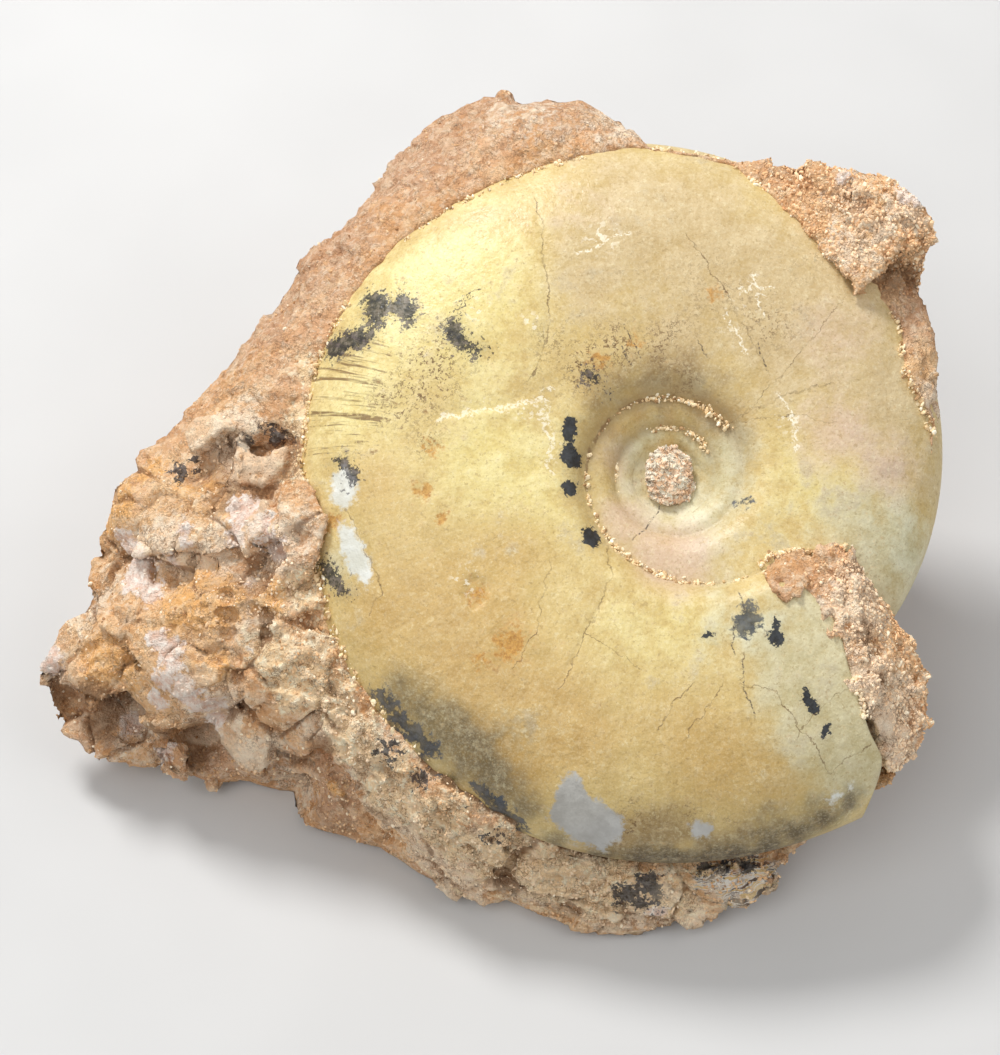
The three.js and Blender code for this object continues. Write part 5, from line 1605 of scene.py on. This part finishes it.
def stone_colours(tree):
    """Sandy limestone: orange, tan and pink with cream grains, spar and films, painted light on sunlit patches,
    painted highlights on golden grit, and painted shade in dark hollows and at the shell's foot.
    """
    cloud = noise(tree, 15.0, 3.0, seed=30.0)
    patchy = noise(tree, 4.5, 3.0, 0.6, seed=33.0)
    coarse = noise(tree, 1.5, 4.0, 0.65, seed=38.0)
    gritty = noise(tree, 0.5, 3.0, 0.7, seed=41.0)
    shard = shards(tree, 1.3, 2.0)
    chips = shards(tree, 0.6, 5.0)
    gaps = larger(veins(tree, 1.7, 0.035, 44.0), veins(tree, 0.8, 0.035, 47.0) * 0.7)
    gaps = gaps * smooth_step(0.25, 0.6, noise(tree, 3.0, 2.0, seed=49.0))

    colour = mixed(tree, cloud, (0.72, 0.37, 0.15), (0.78, 0.46, 0.26))
    colour = mixed(tree, smooth_step(0.3, 0.9, patchy) * 0.55, colour, (0.89, 0.61, 0.35))

    def patch(name, wobble, edge):
        depth = stored_number(tree, name) + (patchy - 0.5) * wobble + (coarse - 0.5) * wobble
        return smooth_step(-edge, edge, depth)

    colour = mixed(tree, patch("ruddy", 8.0, 4.0) * 0.7, colour,
                   mixed(tree, coarse, (0.48, 0.25, 0.14), (0.70, 0.45, 0.30)))
    # painted light on the sunlit patches
    colour = mixed(tree, patch("sunlit", 6.0, 4.0) * 0.6, colour, (0.98, 0.63, 0.32))
    creamy = patch("creamy", 5.0, 2.5)
    colour = mixed(tree, creamy * 0.8, colour, mixed(tree, coarse, (0.96, 0.70, 0.48),
                                                     (1.0, 0.88, 0.70)))
    colour = mixed(tree, patch("orange", 2.5, 1.2) * 0.85, colour, (0.93, 0.50, 0.17))
    golden = patch("gritty", 2.5, 1.5)
    colour = mixed(tree, golden * 0.85, colour, (1.0, 0.73, 0.42))
    colour = mixed(tree, (shard - 0.5) * 0.6, colour, (0.97, 0.80, 0.55))
    colour = mixed(tree, (shard * -1.0 + 0.42) * (0.75 - larger(creamy, golden) * 0.4), colour,
                   (0.50, 0.24, 0.10))
    colour = mixed(tree, (chips - 0.6) * 0.8, colour, (0.98, 0.87, 0.68))
    colour = mixed(tree, (gritty * -1.0 + 0.3) * 0.8, colour, (0.38, 0.19, 0.08))
    # painted highlights on the golden grit
    colour = mixed(tree, golden * smooth_step(0.55, 0.85, coarse) * 0.8, colour,
                   (1.0, 0.90, 0.66))
    layers = stored_number(tree, "layered")
    lines = Field(tree, node(tree, "ShaderNodeTexNoise", {
        "Vector": node(tree, "ShaderNodeCombineXYZ", {
            0: stored_number(tree, "depth_in_layers") / 0.9 + (coarse - 0.5) * 0.8,
            1: cloud * 2.0, 2: patchy * 0.6,
        }).outputs[0], "Scale": 1.0, "Detail": 2.0,
    }).outputs["Fac"])
    colour = mixed(tree, layers * smooth_step(0.52, 0.64, lines) * 0.7, colour,
                   (0.90, 0.72, 0.46))
    colour = mixed(tree, layers * smooth_step(0.48, 0.38, lines) * 0.3, colour,
                   (0.36, 0.20, 0.09))
    stripe = smooth_step(0.3, 0.7, Field(tree, node(tree, "ShaderNodeTexNoise", {
        "Vector": node(tree, "ShaderNodeCombineXYZ", {
            0: stored_number(tree, "depth_in_layers") / 0.8 + (patchy - 0.5) * 1.2,
            1: cloud * 1.5, 2: 4.0,
        }).outputs[0], "Scale": 1.0, "Detail": 3.0,
    }).outputs["Fac"]))
    stripes = mixed(tree, smooth_step(0.32, 0.42, stripe), (0.03, 0.035, 0.045), mixed(
        tree, smooth_step(0.58, 0.68, stripe), (0.86, 0.84, 0.78), (0.76, 0.56, 0.26)))
    colour = mixed(tree, patch("banded", 2.0, 0.8) * 0.85, colour, stripes)
    # painted shadow where the stone meets the shell along the bottom
    foot = smooth_step(1.1, 0.3, stored_number(tree, "from_shell") + (coarse - 0.5) * 1.2)
    colour = mixed(tree, foot * 0.8, colour, (0.10, 0.05, 0.02))
    # painted shade in the recesses and holes, over brown stone
    colour = mixed(tree, patch("brown_and_hollow_shade", 2.5, 1.0) * 0.75, colour,
                   mixed(tree, coarse, (0.16, 0.08, 0.035), (0.42, 0.22, 0.10)))
    colour = mixed(tree, gaps * (larger(golden, creamy) * 0.15 + 0.5), colour, (0.24, 0.11, 0.045))
    spar = patch("calcite", 1.8, 0.5)
    colour = mixed(tree, spar * 0.9, colour, mixed(tree, coarse, (0.78, 0.50, 0.38),
                                                   (1.0, 0.92, 0.83)))
    black = smooth_step(0.0, 0.15, patch("black", 2.5, 1.2) * 1.12 - gritty)
    colour = mixed(tree, black * 0.9, colour, mixed(tree, chips, (0.012, 0.013, 0.018),
                                                    (0.13, 0.12, 0.12)))
    return colour, (coarse - 0.5) * 0.34 + (gritty - 0.5) * 0.18


def stone_finish():
    material, tree, shader = new_material("rough_limestone")
    raised = stored_number(tree, "raised")
    colour, height = stone_colours(tree)
    crease = stored_number(tree, "crease")
    # painted shade in the carved creases and hollows, and painted highlights on the raised crests
    colour = mixed(tree, smooth_step(0.25, 0.8, crease) * 0.6, colour, (0.22, 0.10, 0.04))
    hollow = smooth_step(-0.2, -1.8, raised)
    colour = mixed(tree, hollow * 0.4, colour, (0.26, 0.12, 0.05))
    crest = smooth_step(0.3, 1.4, raised)
    colour = mixed(tree, crest * 0.45, colour, (1.0, 0.82, 0.60))
    tree.links.new(colour, shader.inputs["Base Color"])
    shader.inputs["Roughness"].default_value = 0.85
    shader.inputs["Specular IOR Level"].default_value = 0.3
    tree.links.new(bumped(tree, height), shader.inputs["Normal"])
    return material


def grain_finish(name, dark, light, brightest):
    """Crumbs of stone, from dark to light by the tone stored on each."""
    material, tree, shader = new_material(name)
    tone = stored_number(tree, "tone")
    colour = mixed(tree, tone, dark, light)
    colour = mixed(tree, smooth_step(0.8, 0.98, tone) * 0.85, colour, brightest)
    colour = mixed(tree, smooth_step(0.14, 0.04, tone) * 0.75, colour, (0.32, 0.16, 0.07))
    colour = mixed(tree, smooth_step(-2.0, 2.0, stored_number(tree, "creamy")) * 0.5, colour,
                   (1.0, 0.86, 0.66))
    colour = mixed(tree, smooth_step(-0.5, 0.5, stored_number(tree, "calcite")) * 0.7, colour,
                   (0.90, 0.80, 0.72))
    colour = mixed(tree, smooth_step(-0.5, 0.5, stored_number(tree, "black")) * 0.85, colour,
                   (0.03, 0.03, 0.035))
    # painted shade in the recesses and holes, over brown stone
    colour = mixed(tree, smooth_step(-0.8, 0.5, stored_number(tree, "brown_and_hollow_shade")) * 0.6, colour,
                   (0.26, 0.13, 0.06))
    tree.links.new(colour, shader.inputs["Base Color"])
    shader.inputs["Roughness"].default_value = 0.85
    shader.inputs["Specular IOR Level"].default_value = 0.15
    return material


def sediment_finish():
    material, tree, shader = new_material("coil_sediment")
    lumps = shards(tree, 0.8, 3.0)
    gritty = noise(tree, 0.3, 3.0, 0.7, seed=52.0)
    gaps = veins(tree, 1.1, 0.03, 55.0)
    colour = mixed(tree, smooth_step(0.2, 0.8, lumps), (1.0, 0.66, 0.40), (1.0, 0.90, 0.70))
    colour = mixed(tree, smooth_step(0.5, 0.9, gritty) * 0.5, colour, (1.0, 0.96, 0.84))
    colour = mixed(tree, gaps * 0.8, colour, (0.26, 0.11, 0.045))
    tree.links.new(colour, shader.inputs["Base Color"])
    shader.inputs["Roughness"].default_value = 0.85
    tree.links.new(bumped(tree, (gritty - 0.5) * 0.1), shader.inputs["Normal"])
    return material


def floor_finish():
    material, tree, shader = new_material("pale_floor")
    soft = noise(tree, 60.0, 2.0)
    tree.links.new(mixed(tree, soft, (0.60, 0.595, 0.585), (0.63, 0.625, 0.615)),
                   shader.inputs["Base Color"])
    shader.inputs["Roughness"].default_value = 0.9
    return material


def make_floor():
    size = 3.0
    mesh = bpy.data.meshes.new("floor")
    mesh.from_pydata([(-size, -size, 0), (size, -size, 0), (size, size, 0), (-size, size, 0)],
                     [], [(0, 1, 2, 3)])
    mesh.materials.append(floor_finish())
    floor = bpy.data.objects.new("floor", mesh)
    bpy.context.scene.collection.objects.link(floor)


def make_light(name, location, size, watts, colour=(1, 1, 1)):
    data = bpy.data.lights.new(name, "AREA")
    data.shape = "DISK"
    data.size = size
    data.energy = watts
    data.color = colour
    light = bpy.data.objects.new(name, data)
    light.location = location
    light.rotation_euler = (-Vector(location)).to_track_quat("-Z", "Y").to_euler()
    bpy.context.scene.collection.objects.link(light)


def make_world():
    world = bpy.data.worlds.new("studio")
    world.use_nodes = True
    world.node_tree.nodes["Background"].inputs["Color"].default_value = (0.97, 0.98, 1.0, 1)
    world.node_tree.nodes["Background"].inputs["Strength"].default_value = 0.36
    bpy.context.scene.world = world


stone_material = stone_finish()
stone_mesh = make_stone(stone_material)
show("ammonite_shell", make_shell(shell_finish()), "ammonite")
show("matrix_grains", make_grains("matrix_grains", stone_mesh, grain_finish(
    "limestone_grains", (0.72, 0.42, 0.20), (0.94, 0.70, 0.44), (1.0, 0.90, 0.70)),
    all_over, 0.48, 5), smooth=False)
show("wedge_crumbs", make_grains("wedge_crumbs", stone_mesh, grain_finish(
    "wedge_crumbs", (0.84, 0.48, 0.24), (1.0, 0.73, 0.44), (1.0, 0.91, 0.70)),
    on_wedges, 0.55, 17), smooth=False)
show("matrix_rock", stone_mesh, "matrix")
show("seam_crumbs", make_seam_crumbs(grain_finish(
    "clinging_crumbs", (0.84, 0.58, 0.30), (1.0, 0.86, 0.58), (1.0, 0.95, 0.78))),
    smooth=False)
show("umbilicus_crumbs", make_plug(sediment_finish()), "umbilicus_fill")
make_floor()
make_world()
make_light("key", (-0.35, 0.52, 0.85), 0.28, 9.0)
make_light("fill", (-0.5, -0.5, 1.0), 0.9, 4.5)
make_light("side", (0.8, -0.1, 0.9), 0.9, 3.0)
bpy.context.scene.view_settings.view_transform = "Standard"
